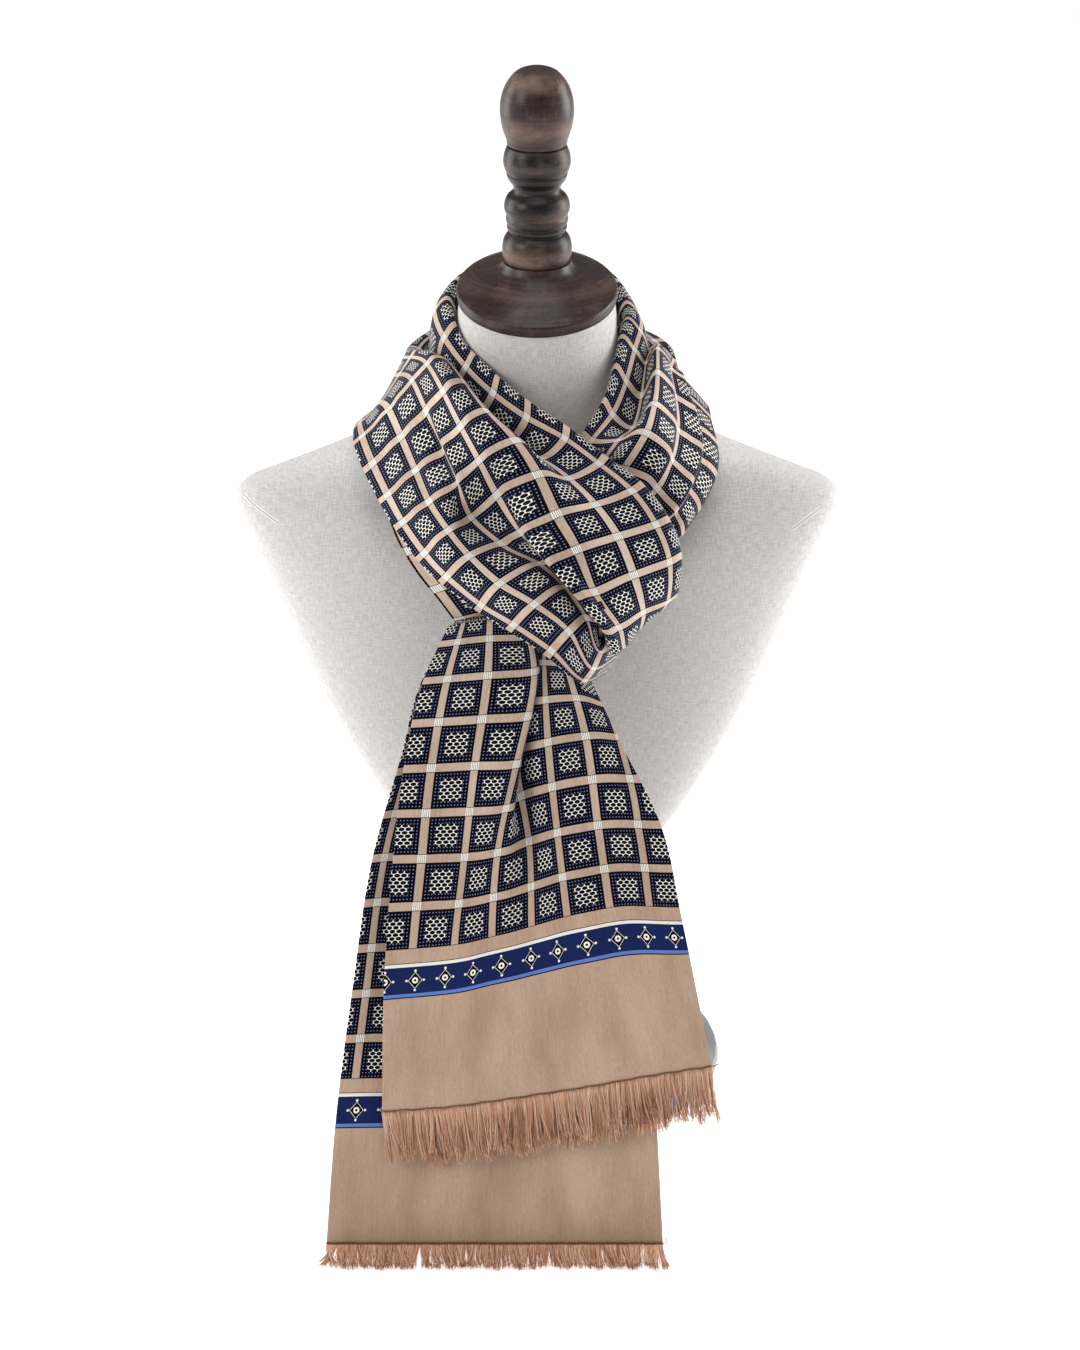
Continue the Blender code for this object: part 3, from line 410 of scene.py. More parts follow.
class Paint:
    """A material's node tree with short calls for the nodes used here."""

    def __init__(self, name, **settings):
        self.material = bpy.data.materials.new(name)
        self.material.use_nodes = True
        self.tree = self.material.node_tree
        self.shader = self.tree.nodes["Principled BSDF"]
        self.feed_all(self.shader, settings)

    def feed_all(self, node, inputs):
        for key, item in inputs.items():
            feed(self.tree, node.inputs[key.replace("_", " ")], item)

    def node(self, kind, **inputs):
        node = self.tree.nodes.new(kind)
        self.feed_all(node, inputs)
        return node

    def uv(self):
        return parts_of(self.tree, "ShaderNodeUVMap", "UV")[:2]

    def place(self):
        return parts_of(self.tree, "ShaderNodeTexCoord", "Object")

    def noise(self, place, scale=1.0, detail=2.0, roughness=0.5):
        """Noise at a place of two or three parts."""
        joined = self.node("ShaderNodeCombineXYZ", **dict(zip("XYZ", place)))
        node = self.node("ShaderNodeTexNoise", Vector=joined.outputs[0], Scale=scale, Detail=detail,
                         Roughness=roughness)
        return Signal(self.tree, node.outputs["Fac"])

    def mix(self, factor, first, second):
        node = self.node("ShaderNodeMix")
        node.data_type = "RGBA"
        for slot, item in ((node.inputs[0], factor), (node.inputs[6], first), (node.inputs[7], second)):
            feed(self.tree, slot, item)
        return node.outputs[2]

    def finish(self, color, height, distance, strength, rough=None):
        """Gives the shader its colour, its bump and, where it changes, its roughness."""
        bump = self.node("ShaderNodeBump", Strength=strength, Distance=distance, Height=height)
        self.feed_all(self.shader, {"Base Color": color, "Normal": bump.outputs[0]})
        if rough:
            self.feed_all(self.shader, {"Roughness": rough})
        return self.material


def printed_cloth():
    """The print, charted from one tile: stripes, dotted squares, nets, crossings, and the end border."""
    paint = Paint("printed_silk", Sheen_Weight=0.36, Sheen_Roughness=0.22, Specular_IOR_Level=0.12,
                  IOR=1.2)
    u, v = paint.uv()
    cloudy = paint.noise((u * 40.0, v * 9.0), detail=3.0, roughness=0.6)
    threads = paint.noise((u * 55.0, v * 1.6), roughness=0.6)
    broad = paint.noise((u * 0.9, v * 0.35))
    # painted sheen: streaks along the scarf and broad mottling that lighten and darken the beige tones
    shade = (cloudy * 0.3 + threads * 0.3 + broad * 0.4).span(0.38, 0.62)
    plain = paint.mix(shade, HEM, HEM_SHADE)
    # painted light: low on the tails the stripes take 70 % of the hem's darker tone, fading to their paler
    # sheen tone by 10 tiles up
    beige = paint.mix(v.span(2.0, 10.0, 0.7, 0.0), paint.mix(shade, SILK, SILK_SHADE), plain)
    color = dotted_square(paint, u.from_middle(), v.from_middle())
    # stripes with their thin dark edges
    across = u.from_nearest().size()
    along = v.from_nearest().size()
    stripe_u = across.below(STRIPE_HALF)
    stripe_v = along.below(STRIPE_HALF)
    line_u = across.is_near(STRIPE_HALF, LINE_HALF)
    line_v = along.is_near(STRIPE_HALF, LINE_HALF)
    edges = (line_u * along.above(STRIPE_HALF)).most(line_v * across.above(STRIPE_HALF))
    color = paint.mix(stripe_u.most(stripe_v), color, beige)
    color = paint.mix(edges, color, LINE)
    # crossings: white with four thin dark rules along the scarf, and plain below the field
    crossing = stripe_u * stripe_v
    rules = (across / RULE_PITCH + 0.5).from_nearest().size().below(RULE_HALF).most(line_v)
    color = paint.mix(crossing, color, paint.mix(rules, "eceae2", "16171f"))
    color = paint.mix(crossing * v.below(1.5), color, beige)
    # the field's foot, and the end border below it
    color = paint.mix(v.below(FIELD_FOOT), color, plain)
    color = paint.mix(v.is_near(FIELD_FOOT + 0.007, 0.007), color, LINE)
    v = v + BORDER_SHIFT
    color = paint.mix(v.below(STRIPE_FOOT), color, end_border(paint, u, v, plain))
    # twill: fine slanted ribs, with slow changes in the sheen
    ribs = (u * 70.0 + v * 70.0).from_nearest().size() + cloudy * 0.6
    return paint.finish(color, ribs, 0.0001, 0.35, cloudy.span(0.3, 0.7, 0.36, 0.5))


def dotted_square(paint, cell_u, cell_v):
    """The square between the stripes: dots on dark ground, and in its middle a net of ovals."""
    dot_u = (cell_u / DOT_PITCH).from_middle()
    dot_v = (cell_v / DOT_PITCH).from_middle()
    dots = (dot_u.squared() + dot_v.squared()).below(DOT_SIZE)
    ovals = []
    for shift in (0.0, DOT_PITCH):
        wide = ((cell_u + shift) / (2 * DOT_PITCH)).from_nearest() * (2 / OVAL_WIDE)
        high = ((cell_v + shift) / (2 * DOT_PITCH)).from_nearest() * (2 / OVAL_HIGH)
        ovals.append(wide.squared() + high.squared())
    net = ovals[0].least(ovals[1]).above(1.0)
    in_net = cell_u.size().most(cell_v.size()).below(NET_REACH * DOT_PITCH)
    return paint.mix(in_net, paint.mix(dots, NIGHT, DOT), paint.mix(net, LINE, NET))


def end_border(paint, u, v, plain):
    """White line, navy band with medallions, light blue line and plain hem, and thin dark lines."""
    drawn, ground = medallions(u, v)
    color = paint.mix(drawn, paint.mix(ground, BAND, LINE), NET)
    color = paint.mix(v.below(BAND_FOOT), color, RIBBON)
    color = paint.mix(v.above(WHITE_FOOT), color, "e9e6df")
    color = paint.mix(v.is_near(WHITE_FOOT, 0.006), color, LINE)
    color = paint.mix(v.is_near(STRIPE_FOOT - 0.007, 0.009), color, LINE)
    color = paint.mix(v.below(RIBBON_FOOT), color, LINE)
    return paint.mix(v.below(LINE_FOOT), color, plain)


def medallions(u, v):
    """Where a medallion's lines and spots are, and its dark diamond ground, in centimetres."""
    across = ((u - MEDALLION_FIRST) / MEDALLION_PITCH).from_nearest() * (MEDALLION_PITCH * TILE)
    along = (v - MEDALLION_HEIGHT) * TILE
    reach = across.size() * 2.0 + along.size() * 1.75
    outline = reach.is_near(1.12, 0.045)
    away = (across.squared() + along.squared()).root()
    ring = away.below(0.25) * away.above(0.1)
    sides = ((across.size() - 0.7).squared() + along.squared()).below(0.0095)
    ends = (across.squared() + (along.size() - 0.76).squared()).below(0.0095)
    return outline.most(ring).most(sides).most(ends), reach.below(1.32)


def sewing_thread():
    paint = Paint("sewing_thread", Roughness=0.6, Specular_IOR_Level=0.2)
    u, v = paint.uv()
    ply = (v * 3.0 + u * 2.0).from_nearest().size()
    uneven = paint.noise((u * 3.0, v * 0.7))
    color = paint.mix(uneven.span(0.3, 0.7), "70442e", "9a6446")
    # painted shade: darker in the grooves between the plies, where the bump is lowest
    color = paint.mix(ply.span(0.0, 0.5, 0.4, 0.0), color, "4a2a1c")
    return paint.finish(color, ply, 0.0002, 0.5)


def fringe_thread():
    paint = Paint("fringe_thread", Roughness=0.55, Specular_IOR_Level=0.2)
    u, v = paint.uv()
    each = paint.noise((u * 7.0, v * 0.4), detail=1.0)
    color = paint.mix(v.span(0.0, 1.0), "dfb294", "cf9672")
    color = paint.mix(each.span(0.5, 0.66), color, "fadcc6")
    color = paint.mix(each.span(0.48, 0.34), color, "8d5a40")
    twist = (v * 26.0 + u * 3.0).from_nearest().size()
    return paint.finish(color, twist, 0.0002, 0.4)


def linen():
    """Plain-woven linen: uneven threads both ways, slubs, small brown specks and the shoulders' seams, each
    a dark line in a painted highlight.
    """
    paint = Paint("linen_cover", Roughness=0.92, Sheen_Weight=0.15, Specular_IOR_Level=0.2)
    u, v = paint.uv()
    warp = (u * 12.0).from_nearest().size()
    weft = (v * 12.0).from_nearest().size()
    slub_u = paint.noise((u * 12.0, v * 1.3), roughness=0.6)
    slub_v = paint.noise((u * 1.3, v * 12.0, 5.0), roughness=0.6)
    weave = (warp * 0.5 + slub_u) * 0.5 + (weft * 0.5 + slub_v) * 0.5
    color = paint.mix(weave.span(0.42, 0.8), "aaa7a4", "dddbda")
    specks = paint.noise((u * 3.0, v * 9.0, 2.0), roughness=0.6).above(0.70)
    color = paint.mix(specks * 0.4, color, "a08a78")
    broad = paint.noise((u, v, 9.0), 0.15)
    color = paint.mix(broad.span(0.3, 0.7, 0.0, 0.12), color, "c9bfb4")
    x, y, z = paint.place()
    for seam in SHOULDER_SEAMS:
        run = np.array(seam["end"]) - np.array(seam["start"])
        length = float(np.linalg.norm(run))
        way_x, way_z = (float(part) for part in run / length)
        near_x = x / CM - seam["start"][0]
        near_z = z / CM - seam["start"][1]
        off = (near_x * way_z - near_z * way_x).size()
        reach = near_x * way_x + near_z * way_z
        there = reach.above(0.0) * reach.below(length) * y.below(SEAM_BACK)
        # painted highlight: a pale band along each seam, where its ridge catches the light; the dark line
        # in its middle is the seam
        color = paint.mix(off.below(0.14) * there * 0.5, color, "f4f3f2")
        color = paint.mix(off.below(0.05) * there * 0.75, color, "8d8986")
    return paint.finish(color, weave, 0.0004, 0.5)


def wood():
    """Dark stained turned wood: fine grain, turning marks, paler patches, and paler bands with soft edges,
    those round the ball painted reflections.
    """
    paint = Paint("dark_wood", Specular_IOR_Level=0.3)
    x, y, z = paint.place()
    grain = paint.noise((x * 420.0, y * 420.0, z * 110.0), detail=4.0, roughness=0.65)
    patch = paint.noise((x * 34.0, y * 34.0, z * 60.0), detail=5.0, roughness=0.65)
    turned = paint.noise((x * 14.0, y * 14.0, z * 900.0), detail=3.0, roughness=0.65)
    pores = paint.noise((x * 900.0, y * 900.0, z * 300.0), roughness=0.7)
    color = paint.mix(grain.span(0.3, 0.7), "1c1111", "3a2722")
    pale_patches_and_reflections = patch.span(0.5, 0.72, 0.0, 0.35)
    # paler bands; the two round the ball are painted reflections of the lamp above and of the floor
    for band in PALE_BANDS:
        near = ((z / CM - band["z"]) / band["wide"]).size().span(0.0, 1.0, 1.0, 0.0, True)
        pale_patches_and_reflections = pale_patches_and_reflections.most(near * band["share"] * patch.span(0.3, 0.6))
    beads = ((z / CM - BEADS_MIDDLE) / BEADS_REACH).size().span(0.8, 1.05, 0.85, 0.0, True)
    color = paint.mix(beads, color, "0d0a0b")
    color = paint.mix(pale_patches_and_reflections, color, "866b5c")
    color = paint.mix(turned.span(0.52, 0.7, 0.0, 0.5), color, "0f0b0b")
    color = paint.mix(turned.span(0.46, 0.3, 0.0, 0.25), color, "6a564b")
    color = paint.mix(pores.span(0.6, 0.75, 0.0, 0.6), color, "0f0b0b")
    return paint.finish(color, grain * 0.5 + turned * 0.5, 0.0004, 0.4, patch.span(0.3, 0.7, 0.3, 0.44))


def metal():
    """Dark coated metal with faint specks and rubbed patches."""
    paint = Paint("stand_metal", Metallic=0.4)
    place = paint.place()
    fine = paint.noise(place, 900.0)
    broad = paint.noise(place, 18.0, 3.0)
    color = paint.mix(broad.span(0.35, 0.7), "8b8a8c", "a09fa1")
    color = paint.mix(fine.span(0.5, 0.8, 0.0, 0.4), color, "6a6a6c")
    return paint.finish(color, fine, 0.0002, 0.3, broad.span(0.3, 0.7, 0.34, 0.5))


def unit(vector):
    return vector / max(np.linalg.norm(vector), 1e-9)


def part_way(first, second, share):
    return first + share * (second - first)


def read_table(rows, key, column, places):
    """A table's column at places of its key column, straight between the rows."""
    return np.interp(places, [row[key] for row in rows], [row[column] for row in rows])


def smooth_through(knots, values, places):
    """A cubic curve through values at uneven knots, read at places."""
    knots = np.asarray(knots, float)
    values = np.asarray(values, float)
    slopes = np.gradient(values, knots, axis=0)
    places = np.clip(places, knots[0], knots[-1])
    cell = np.clip(np.searchsorted(knots, places, side="right") - 1, 0, len(knots) - 2)
    width = knots[cell + 1] - knots[cell]
    t = (places - knots[cell]) / width
    shape = (-1,) + (1,) * (values.ndim - 1)
    t = t.reshape(shape)
    width = width.reshape(shape)
    start = values[cell] * (2 * t**3 - 3 * t**2 + 1) + values[cell + 1] * (3 * t**2 - 2 * t**3)
    return start + width * (slopes[cell] * (t**3 - 2 * t**2 + t) + slopes[cell + 1] * (t**3 - t**2))


def finer(rows, columns, steps):
    """A table's columns as numbers, smoothed, with this many steps from each row to the next."""
    values = np.array([[row[name] for name in columns] for row in rows], float)
    last = len(values) - 1
    return smooth_through(np.arange(last + 1), values, np.linspace(0, last, last * steps + 1))


def with_edges(first, last, step, edge):
    """Even places from first to last, with close ones near both ends, where a folded edge rounds off."""
    count = int(math.ceil((last - first - 2 * edge) / step))
    close = edge * np.array([0.0, 0.06, 0.2, 0.45])
    return np.concatenate([first + close, np.linspace(first + edge, last - edge, count + 1),
                           (last - close)[::-1]])


def normals_of(grid):
    along = np.gradient(grid, axis=0)
    across = np.gradient(grid, axis=1)
    normal = np.cross(across, along)
    return normal / np.maximum(np.linalg.norm(normal, axis=-1, keepdims=True), 1e-9)


def line_reader(line):
    """A line's length, and a function that gives its point at a length along it."""
    lengths = np.concatenate([[0.0], np.cumsum(np.linalg.norm(np.diff(line, axis=0), axis=1))])

    def point_at(place):
        return np.stack([np.interp(place, lengths, line[:, axis]) for axis in range(3)], -1)

    return lengths[-1], point_at


def add_mesh(name, points, faces, uvs=None, weld=0.0):
    """A smooth object from points in centimetres, with a UV pair for each and close ones welded."""
    mesh = bpy.data.meshes.new(name)
    mesh.from_pydata([tuple(point) for point in np.asarray(points) * CM], [], faces)
    if uvs is not None:
        owners = np.empty(len(mesh.loops), dtype=np.int32)
        mesh.loops.foreach_get("vertex_index", owners)
        layer = mesh.uv_layers.new(name="UVMap")
        layer.data.foreach_set("uv", np.asarray(uvs)[owners].reshape(-1))
    if weld:
        work = bmesh.new()
        work.from_mesh(mesh)
        bmesh.ops.remove_doubles(work, verts=work.verts[:], dist=weld)
        work.to_mesh(mesh)
        work.free()
    mesh.shade_smooth()
    obj = bpy.data.objects.new(name, mesh)
    bpy.context.scene.collection.objects.link(obj)
    return obj


def tube_faces(base, rings, sides):
    """The faces of a tube whose rings of points follow each other from base, closed at both ends."""
    faces = []
    last = base + (rings - 1) * sides
    for start in range(base, last, sides):
        for corner in range(sides):
            n = (corner + 1) % sides
            faces.append((start + corner, start + n, start + sides + n, start + sides + corner))
    faces.append(tuple(range(base, base + sides))[::-1])
    faces.append(tuple(range(last, last + sides)))
    return faces


def circle(centre, radius, first, second, sides, turn=0.0):
    """Points round a centre, on the circle that two directions span."""
    angles = [2 * math.pi * corner / sides + turn for corner in range(sides)]
    return [centre + radius * (first * math.cos(angle) + second * math.sin(angle)) for angle in angles]


def scarf_section(row):
    """The named points of one section, with the folds' own points worked out from its measures."""
    point = {name: np.array(row[name]) for name in ("seam", "low", "mid", "lip", "high", "roll")}
    across = unit(point["high"] - point["mid"])
    deep_tuck = point["mid"] + 2.0 * across + 1.2 * FOLD_BACK
    deep_under = point["lip"] + 0.2 * across + 0.7 * FOLD_BACK
    point["tuck"] = part_way(part_way(point["mid"], point["lip"], 0.46), deep_tuck, row["fold"])
    point["under"] = part_way(part_way(point["mid"], point["lip"], 0.79), deep_under, row["fold"])
    point["valley"] = 0.5 * (point["high"] + point["roll"]) + row["sink"] * np.array([0.0, 0.1, -1.0])
    outward = unit(point["roll"] - point["high"])
    flat_top = point["roll"] + 1.1 * outward + (0.0, 0.35, 0.0)
    flat_inner = flat_top + 0.2 * outward + (0.0, 1.3, -0.6)
    neck = np.array([0.0, read_table(NECK, "z", "y", point["roll"][2]), 0.0])
    toward = unit((neck - point["roll"]) * (1.0, 1.0, 0.0))
    curl_top = point["roll"] + 1.5 * unit(0.9 * toward + (0.0, 0.0, 0.75))
    curl_inner = curl_top + 2.35 * unit(0.45 * toward + (0.0, 0.0, -1.0))
    point["top"] = part_way(flat_top, curl_top, row["curl"])
    point["inner"] = part_way(flat_inner, curl_inner, row["curl"])
    return np.array([point[name] for name in STRIPES])


def clear_of_neck(points):
    """Points inside the neck's clearance are moved out to it."""
    points = points.copy()
    height = points[..., 2]
    centre = read_table(NECK, "z", "y", height)
    away = np.stack([points[..., 0], points[..., 1] - centre], -1)
    distance = np.linalg.norm(away, axis=-1)
    least = read_table(NECK, "z", "clear", height)
    short = (distance < least) & (height > NECK_FOOT)
    scale = np.where(short, least / np.maximum(distance, 1e-6), 1.0)
    points[..., 0] = away[..., 0] * scale
    points[..., 1] = centre + away[..., 1] * scale
    return points


def crease(u, v, rows):
    """How far soft troughs and ridges move the cloth out."""
    total = np.zeros_like(u)
    for row in rows:
        line = np.array(row["line"], float)
        middle = np.interp(v, line[:, 1], line[:, 0])
        ends = (np.clip((v - line[0, 1]) / row["fade"], 0, 1)
                * np.clip((line[-1, 1] - v) / row["fade"], 0, 1))
        ends = ends * ends * (3 - 2 * ends)
        total += row["out"] * ends * np.exp(-((u - middle) / row["wide"]) ** 2)
    return total


def cloth(name, grid, u, v, flip=False, bulge=None):
    """A flattened tube of cloth: an outer and an inner face that close in a round edge on both sides."""
    way = -1.0 if flip else 1.0
    normal = normals_of(grid) * way
    if bulge is not None:
        grid = grid + normal * bulge[..., None]
        normal = normals_of(grid) * way
    grid = grid + normal * CLEAR
    widths = np.linalg.norm(np.diff(grid, axis=1), axis=2)
    from_left = np.concatenate([np.zeros((len(grid), 1)), np.cumsum(widths, axis=1)], axis=1)
    from_right = from_left[:, -1:] - from_left
    near = np.clip(np.minimum(from_left, from_right) / EDGE, 0, 1)
    swell = np.sqrt(np.clip(1 - (1 - near) ** 2, 0, 1))
    middle = grid - normal * (THICK / 2)
    half = normal * (THICK / 2) * swell[..., None]
    points = np.concatenate([(middle + half).reshape(-1, 3), (middle - half).reshape(-1, 3)])
    rows, columns = grid.shape[:2]
    back = rows * columns
    index = np.arange(back).reshape(rows, columns).tolist()
    faces = []
    for i in range(rows - 1):
        for j in range(columns - 1):
            a, b, c, d = index[i][j], index[i][j + 1], index[i + 1][j + 1], index[i + 1][j]
            if flip:
                b, d = d, b
            faces.append((a, b, c, d))
            faces.append((a + back, d + back, c + back, b + back))
    for i, turned in ((0, flip), (rows - 1, not flip)):
        for a, b in zip(index[i], index[i][1:]):
            face = (a, a + back, b + back, b)
            faces.append(face[::-1] if turned else face)
    uvs = np.tile(np.stack([u.reshape(-1), v.reshape(-1)], -1), (2, 1))
    return add_mesh(name, points, faces, uvs, weld=CLOTH_WELD)


def loop_grid():
    """Points of the part round the neck and of the wrap, with the print's u and v at each."""
    step, count = ((0.09, 290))
    places_u = with_edges(STRIPES["seam"], STRIPES["inner"], step, EDGE / TILE)
    places_v = np.linspace(SECTIONS[0]["at"], SECTIONS[-1]["at"], count)
    stripes = list(STRIPES.values())
    sections = [smooth_through(stripes, scarf_section(row), places_u) for row in SECTIONS]
    grid = clear_of_neck(smooth_through([row["at"] for row in SECTIONS], sections, places_v))
    v, u = np.meshgrid(places_v, places_u, indexing="ij")
    return grid, u, v


def under_grid():
    """Points of the strand that shows under the left one, with the print's u and v at each."""
    places_w = with_edges(0.0, UNDER_WIDTH, 0.2, EDGE)
    sections = [smooth_through([0, UNDER_WIDTH / 2, UNDER_WIDTH], [row["seam"], row["mid"], row["inner"]],
                               places_w) for row in UNDER_SECTIONS]
    at = np.linspace(0, len(UNDER_SECTIONS) - 1, 60)
    grid = smooth_through(range(len(UNDER_SECTIONS)), sections, at)
    v, w = np.meshgrid(at, places_w, indexing="ij")
    return grid, (w - UNDER_LEFT) / TILE, FIELD_START - v * UNDER_PITCH


def tail_grid(rows, section, count, start):
    """Points of a tail from its hem up, with the print's u and v at each. section gives a row's points."""
    places_w = with_edges(0.0, SCARF_WIDTH, TAIL_STEP, EDGE)
    at = np.linspace(0.0, rows[0]["at"], count)
    upward = rows[::-1]
    grid = smooth_through([row["at"] for row in upward], [section(row, places_w) for row in upward], at)
    v, w = np.meshgrid(at, places_w, indexing="ij")
    return grid, (w - start["left"]) / TILE, v - start["hem"] - BORDER_SHIFT


def front_section(row, places_w):
    """A section of the front tail, through its named points."""
    return smooth_through(list(TAIL_STRIPES.values()), [row[name] for name in TAIL_STRIPES], places_w)


def rear_section(row, places_w):
    """A section of the rear tail, straight apart from its waves."""
    across = places_w / SCARF_WIDTH
    section = part_way(np.array(row["left"]), np.array(row["right"]), across[:, None])
    section[:, 1] += row["gather"] * np.sin(2 * math.pi * REAR_FOLDS * across)
    return section


def folded_away(u, v):
    """The front tail's stripe numbers as they show: near the wrap its right edge is folded away."""
    share = read_table(SHOWN, "v", "share", v)
    return np.where(u > FIRST_AWAY, FIRST_AWAY + (u - FIRST_AWAY) * share, u)


def fringe(name, edge, down, out, length, count, spread, seed):
    """Loose threads that hang from an edge in small locks, each one a thin tapered tube."""
    rng = np.random.default_rng(seed)
    total, point_at = line_reader(edge)
    down = unit(np.array(down, float))
    out = unit(np.array(out, float))
    side = unit(edge[-1] - edge[0])
    locks = max(1, int(total / LOCK_WIDTH))
    lock_lean = rng.normal(0.08, 0.28, locks)
    lock_tip = rng.uniform(0.86, 1.03, locks)
    points, faces, uvs = [], [], []
    for k in range(count):
        place = total * (k + rng.uniform(0.1, 0.9)) / count
        lock = min(locks - 1, int(k / count * locks))
        lock_middle = total * (lock + 0.5) / locks
        pull = (lock_middle - place) * rng.uniform(0.0, 0.6)
        lean = lock_lean[lock] + rng.normal(0.0, 0.2)
        lift = rng.uniform(-0.1, 1.0) * spread
        reach = length * lock_tip[lock] * rng.uniform(0.86, 1.0)
        wave = rng.uniform(0.0, 6.28)
        root = point_at(place) - down * 0.08 + out * rng.uniform(-0.05, 0.03)
        faces += tube_faces(len(points), THREAD_STEPS + 1, 3)
        for i in range(THREAD_STEPS + 1):
            t = i / THREAD_STEPS
            centre = (root + down * reach * t + side * (lean * t * t + pull * t)
                      + side * 0.05 * math.sin(wave + 5.0 * t) * t + out * lift * math.sin(1.6 * t))
            radius = THREAD_RADIUS * (1.0 - THREAD_TAPER * t)
            points += circle(centre, radius, side, out, 3, wave)
            uvs += [(k * 0.137, t)] * 3
    return add_mesh(name, points, faces, uvs)


def tubes(name, lines, radius):
    """Thin round threads along lines of points, each closed at both ends."""
    points, faces, uvs = [], [], []
    for k, line in enumerate(lines):
        faces += tube_faces(len(points), len(line), TUBE_SIDES)
        for i, (centre, way) in enumerate(zip(line, np.gradient(line, axis=0))):
            way = unit(way)
            first = unit(np.cross(way, [0.0, 0.31, 0.95]))
            points += circle(centre, radius, first, np.cross(way, first), TUBE_SIDES)
            uvs += [(corner / TUBE_SIDES + k, i * 0.5) for corner in range(TUBE_SIDES)]
    return add_mesh(name, points, faces, uvs)


def hem_thread(name, grid, tail, seed):
    """A wavering thread along a hem, on the outer face, that runs out past the right end to its tail."""
    rng = np.random.default_rng(seed)
    up = np.array([unit(step) for step in grid[4] - grid[0]])
    waver = 0.03 * np.sin(np.arange(len(up)) * 0.8) + rng.normal(0.0, 0.012, len(up))
    line = grid[0] + up * (HEM_RISE + waver)[:, None] + normals_of(grid)[1] * 0.06
    ends = line[-1] + np.array([(0.3, 0.0, 0.05), tail])
    return tubes(name, [np.concatenate([line, ends])], HEM_RADIUS)


def topstitch(name, grid):
    """Short stitches along one column of a cloth's points."""
    line = grid[:, STITCH_COLUMN] - normals_of(grid)[:, STITCH_COLUMN] * 0.05
    total, point_at = line_reader(line)
    starts = np.arange(int(total / STITCH_PITCH)) * STITCH_PITCH
    return tubes(name, [point_at(np.linspace(start, start + STITCH_LENGTH, 4)) for start in starts],
                 STITCH_RADIUS)


def ring_mesh(name, rings, steps_up, count):
    """A closed lofted form through tilted rings, with UVs in centimetres across and up."""
    angle = 2 * math.pi * np.arange(count) / count
    round_x, round_y = np.cos(angle), np.sin(angle)
    levels = []
    for z, half_width, half_depth, middle, tilt, square in finer(rings, RING_COLUMNS, steps_up):
        power = 2.0 / square
        x = half_width * np.sign(round_x) * np.abs(round_x) ** power
        depth = half_depth * np.sign(round_y) * np.abs(round_y) ** power
        lean = math.radians(tilt)
        levels.append(np.stack([x, middle + depth * math.cos(lean), z + depth * math.sin(lean)], -1))
    points = np.concatenate(levels)
    obj = add_mesh(name, points, tube_faces(0, len(levels), count))
    mesh = obj.data
    layer = mesh.uv_layers.new(name="UVMap")
    for polygon in mesh.polygons:
        to_x, to_y, to_z = (abs(part) for part in polygon.normal)
        if to_y > 0.35:
            axes = [0, 2]
        elif to_x > to_z:
            axes = [1, 2]
        else:
            axes = [0, 1]
        for loop in polygon.loop_indices:
            layer.data[loop].uv = points[mesh.loops[loop].vertex_index][axes]
    mesh.set_sharp_from_angle(angle=math.radians(SHARP_ANGLE))
    return obj


def turned_handle():
    """The handle from its profile, smoothed between its named radii, on its leaning axis."""
    lean = math.radians(HANDLE_TILT)
    foot_x, foot_y, foot_z = HANDLE_FOOT
    levels = finer(HANDLE_PROFILE, ("z", "radius"), HANDLE_STEPS)
    points = []
    for z, radius in levels:
        for k in range(HANDLE_SIDES):
            angle = 2 * math.pi * k / HANDLE_SIDES
            x = max(radius, 0.0) * math.cos(angle)
            y = max(radius, 0.0) * math.sin(angle)
            points.append((foot_x + x, foot_y + y * math.cos(lean) - z * math.sin(lean),
                           foot_z + y * math.sin(lean) + z * math.cos(lean)))
    faces = []
    last = (len(levels) - 1) * HANDLE_SIDES
    for start in range(0, last, HANDLE_SIDES):
        below = start + HANDLE_SIDES
        for k in range(HANDLE_SIDES):
            n = (k + 1) % HANDLE_SIDES
            faces.append((start + k, below + k, below + n, start + n))
    faces.append(tuple(range(last, last + HANDLE_SIDES))[::-1])
    return add_mesh("turned_handle", points, faces, weld=TURNED_WELD)


def finish_piece(obj, material, slot, *nodes):
    obj.data.materials.append(material)
    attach(obj, "root")
    if nodes:
        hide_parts(*nodes)


def build_scarf(silk, thread, sewing):
    """The scarf's cloths with their sewing threads and fringes."""
    grid, u, v = loop_grid()
    finish_piece(cloth("scarf_loop", grid, u, v + FIELD_START, bulge=crease(u, v, LOOP_CREASES)),
                 silk, "print", "front_wrap", "left_strand", "back_strand", "right_strand")
    grid, u, v = under_grid()
    finish_piece(cloth("scarf_under_strand", grid, u, v, flip=True), silk, "print", "under_strand")
    finish_piece(topstitch("edge_topstitch", grid), sewing, "print")
    front_grid, u, v = tail_grid(FRONT_TAIL, front_section, 130, FRONT_START)
    bulge = crease(u, v, TAIL_CREASES)
    finish_piece(cloth("scarf_front_tail", front_grid, folded_away(u, v), v, bulge=bulge),
                 silk, "print", "front_tail")
    finish_piece(hem_thread("front_hem_thread", front_grid, (0.55, -0.1, 0.3), 21), sewing, "fringe")
    rear_grid, u, v = tail_grid(REAR_TAIL, rear_section, 150, REAR_START)
    finish_piece(cloth("scarf_rear_tail", rear_grid, u, v, bulge=crease(u, v, REAR_CREASES)),
                 silk, "print", "rear_tail")
    finish_piece(hem_thread("rear_hem_thread", rear_grid, (0.3, 0.35, 0.3), 22), sewing, "fringe")
    build_fringes(thread, front_grid, rear_grid[0])


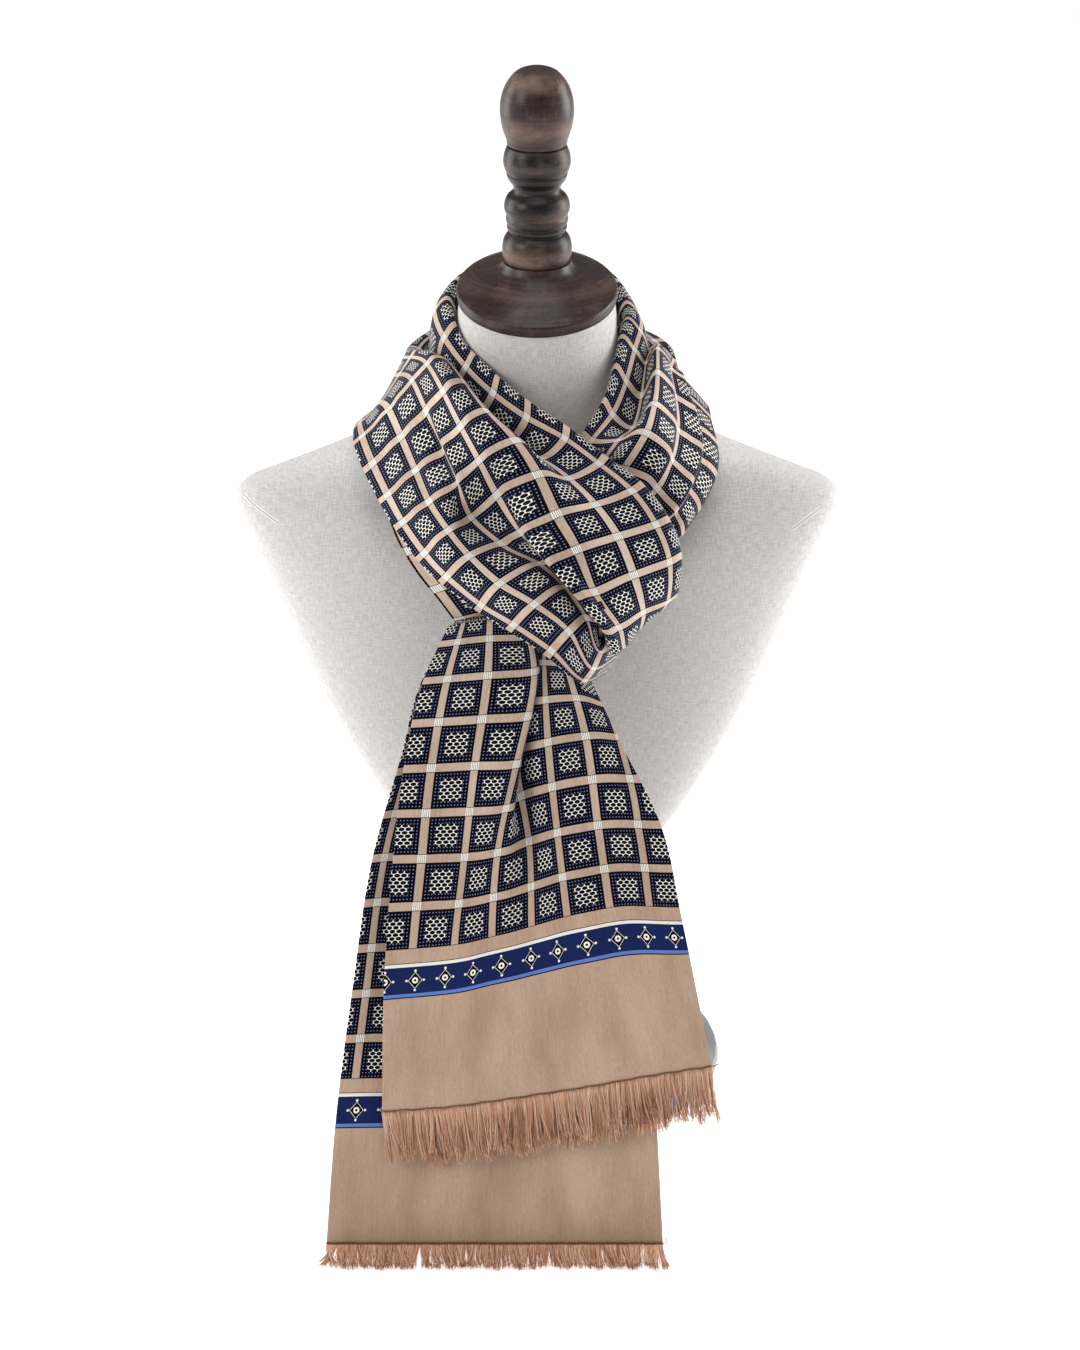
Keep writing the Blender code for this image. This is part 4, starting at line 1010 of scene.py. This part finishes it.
def build_fringes(thread, front_grid, rear_hem):
    """Two layers of threads on the front hem, and one on the rear hem that lies on the table."""
    hem = front_grid[0]
    hang = unit(hem.mean(0) - front_grid[6].mean(0))
    behind = hem[BACK_LAYER] + hang * 0.75 - FORWARD * 0.35
    finish_piece(fringe("front_fringe_threads", hem, hang, FORWARD,
                        length=4.15, count=1500, spread=0.32, seed=11), thread, "fringe", "front_fringe")
    finish_piece(fringe("front_fringe_back_threads", behind, hang, FORWARD,
                        length=4.0, count=1000, spread=0.2, seed=12), thread, "fringe", "front_fringe_back")
    finish_piece(fringe("rear_fringe_threads", rear_hem, (0.0, -1.0, -0.02), (0.0, 0.0, 1.0),
                        length=3.6, count=3000, spread=0.32, seed=13), thread, "fringe", "rear_fringe")


def build_form(frame, cover, timber, steel):
    """The bust, its cap and its handle, and the metal of the stand's own solids."""
    finish_piece(ring_mesh("linen_bust", BUST_RINGS, 5, 160), cover, "linen", "bust_form")
    cap_rings = [dict(ring, half_width=ring["radius"], half_depth=ring["radius"], square=2.0)
                 for ring in CAP_RINGS]
    finish_piece(ring_mesh("turned_neck_cap", cap_rings, 4, 120), timber, "wood", "neck_cap")
    finish_piece(turned_handle(), timber, "wood", "neck_handle")
    for name in ("base_disc", "stand_pole"):
        for slot in frame["nodes"][name].material_slots:
            slot.material = steel


def add_camera():
    data = bpy.data.cameras.new("camera")
    data.sensor_fit = "VERTICAL"
    data.sensor_height = CAMERA["sensor"]
    data.lens = CAMERA["lens"]
    data.clip_end = CAMERA["reach"]
    camera = bpy.data.objects.new("camera", data)
    camera.location = CAMERA["place"]
    camera.rotation_euler = (math.radians(CAMERA["tilt"]), 0.0, 0.0)
    bpy.context.scene.collection.objects.link(camera)
    bpy.context.scene.camera = camera


def add_light(name, place, target, size, power):
    data = bpy.data.lights.new(name, "AREA")
    data.shape = "RECTANGLE"
    data.size, data.size_y = size
    data.energy = power
    light = bpy.data.objects.new(name, data)
    light.location = place
    direction = Vector(np.array(target) - np.array(place))
    light.rotation_euler = direction.to_track_quat("-Z", "Y").to_euler()
    bpy.context.scene.collection.objects.link(light)


def add_backdrop():
    """A white world that is brighter towards the top."""
    world = bpy.data.worlds.new("studio")
    world.use_nodes = True
    tree = world.node_tree
    background = tree.nodes["Background"]
    height = parts_of(tree, "ShaderNodeTexCoord", "Generated")[2]
    feed(tree, background.inputs["Color"], (1.0, 1.0, 1.0, 1.0))
    feed(tree, background.inputs["Strength"], height.span(0.05, 0.55, 0.08, 0.36, True))
    bpy.context.scene.world = world


def add_floor():
    """A white floor that glows a little, so that it stays white to the edge of the frame."""
    corners = [(x * FLOOR_HALF, y * FLOOR_HALF, 0.0) for x, y in ((-1, -1), (1, -1), (1, 1), (-1, 1))]
    floor = add_mesh("floor", corners, [(0, 1, 2, 3)])
    paint = Paint("white_floor", Roughness=0.9, Specular_IOR_Level=0.1, Base_Color=(0.92, 0.92, 0.92, 1.0),
                  Emission_Color=(1.0, 1.0, 1.0, 1.0), Emission_Strength=0.68)
    floor.data.materials.append(paint.material)


def add_studio():
    add_backdrop()
    add_floor()
    for light in LIGHTS:
        add_light(**light)
    bpy.context.scene.view_settings.view_transform = "Standard"


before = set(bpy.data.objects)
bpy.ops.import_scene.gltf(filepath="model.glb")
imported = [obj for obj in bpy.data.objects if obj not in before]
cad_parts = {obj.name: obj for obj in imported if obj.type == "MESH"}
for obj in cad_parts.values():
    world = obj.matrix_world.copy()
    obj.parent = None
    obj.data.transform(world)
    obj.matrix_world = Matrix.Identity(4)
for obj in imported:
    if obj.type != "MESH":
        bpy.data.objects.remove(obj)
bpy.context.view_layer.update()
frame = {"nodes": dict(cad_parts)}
add_camera()
add_studio()
build_scarf(printed_cloth(), fringe_thread(), sewing_thread())
build_form(frame, linen(), wood(), metal())
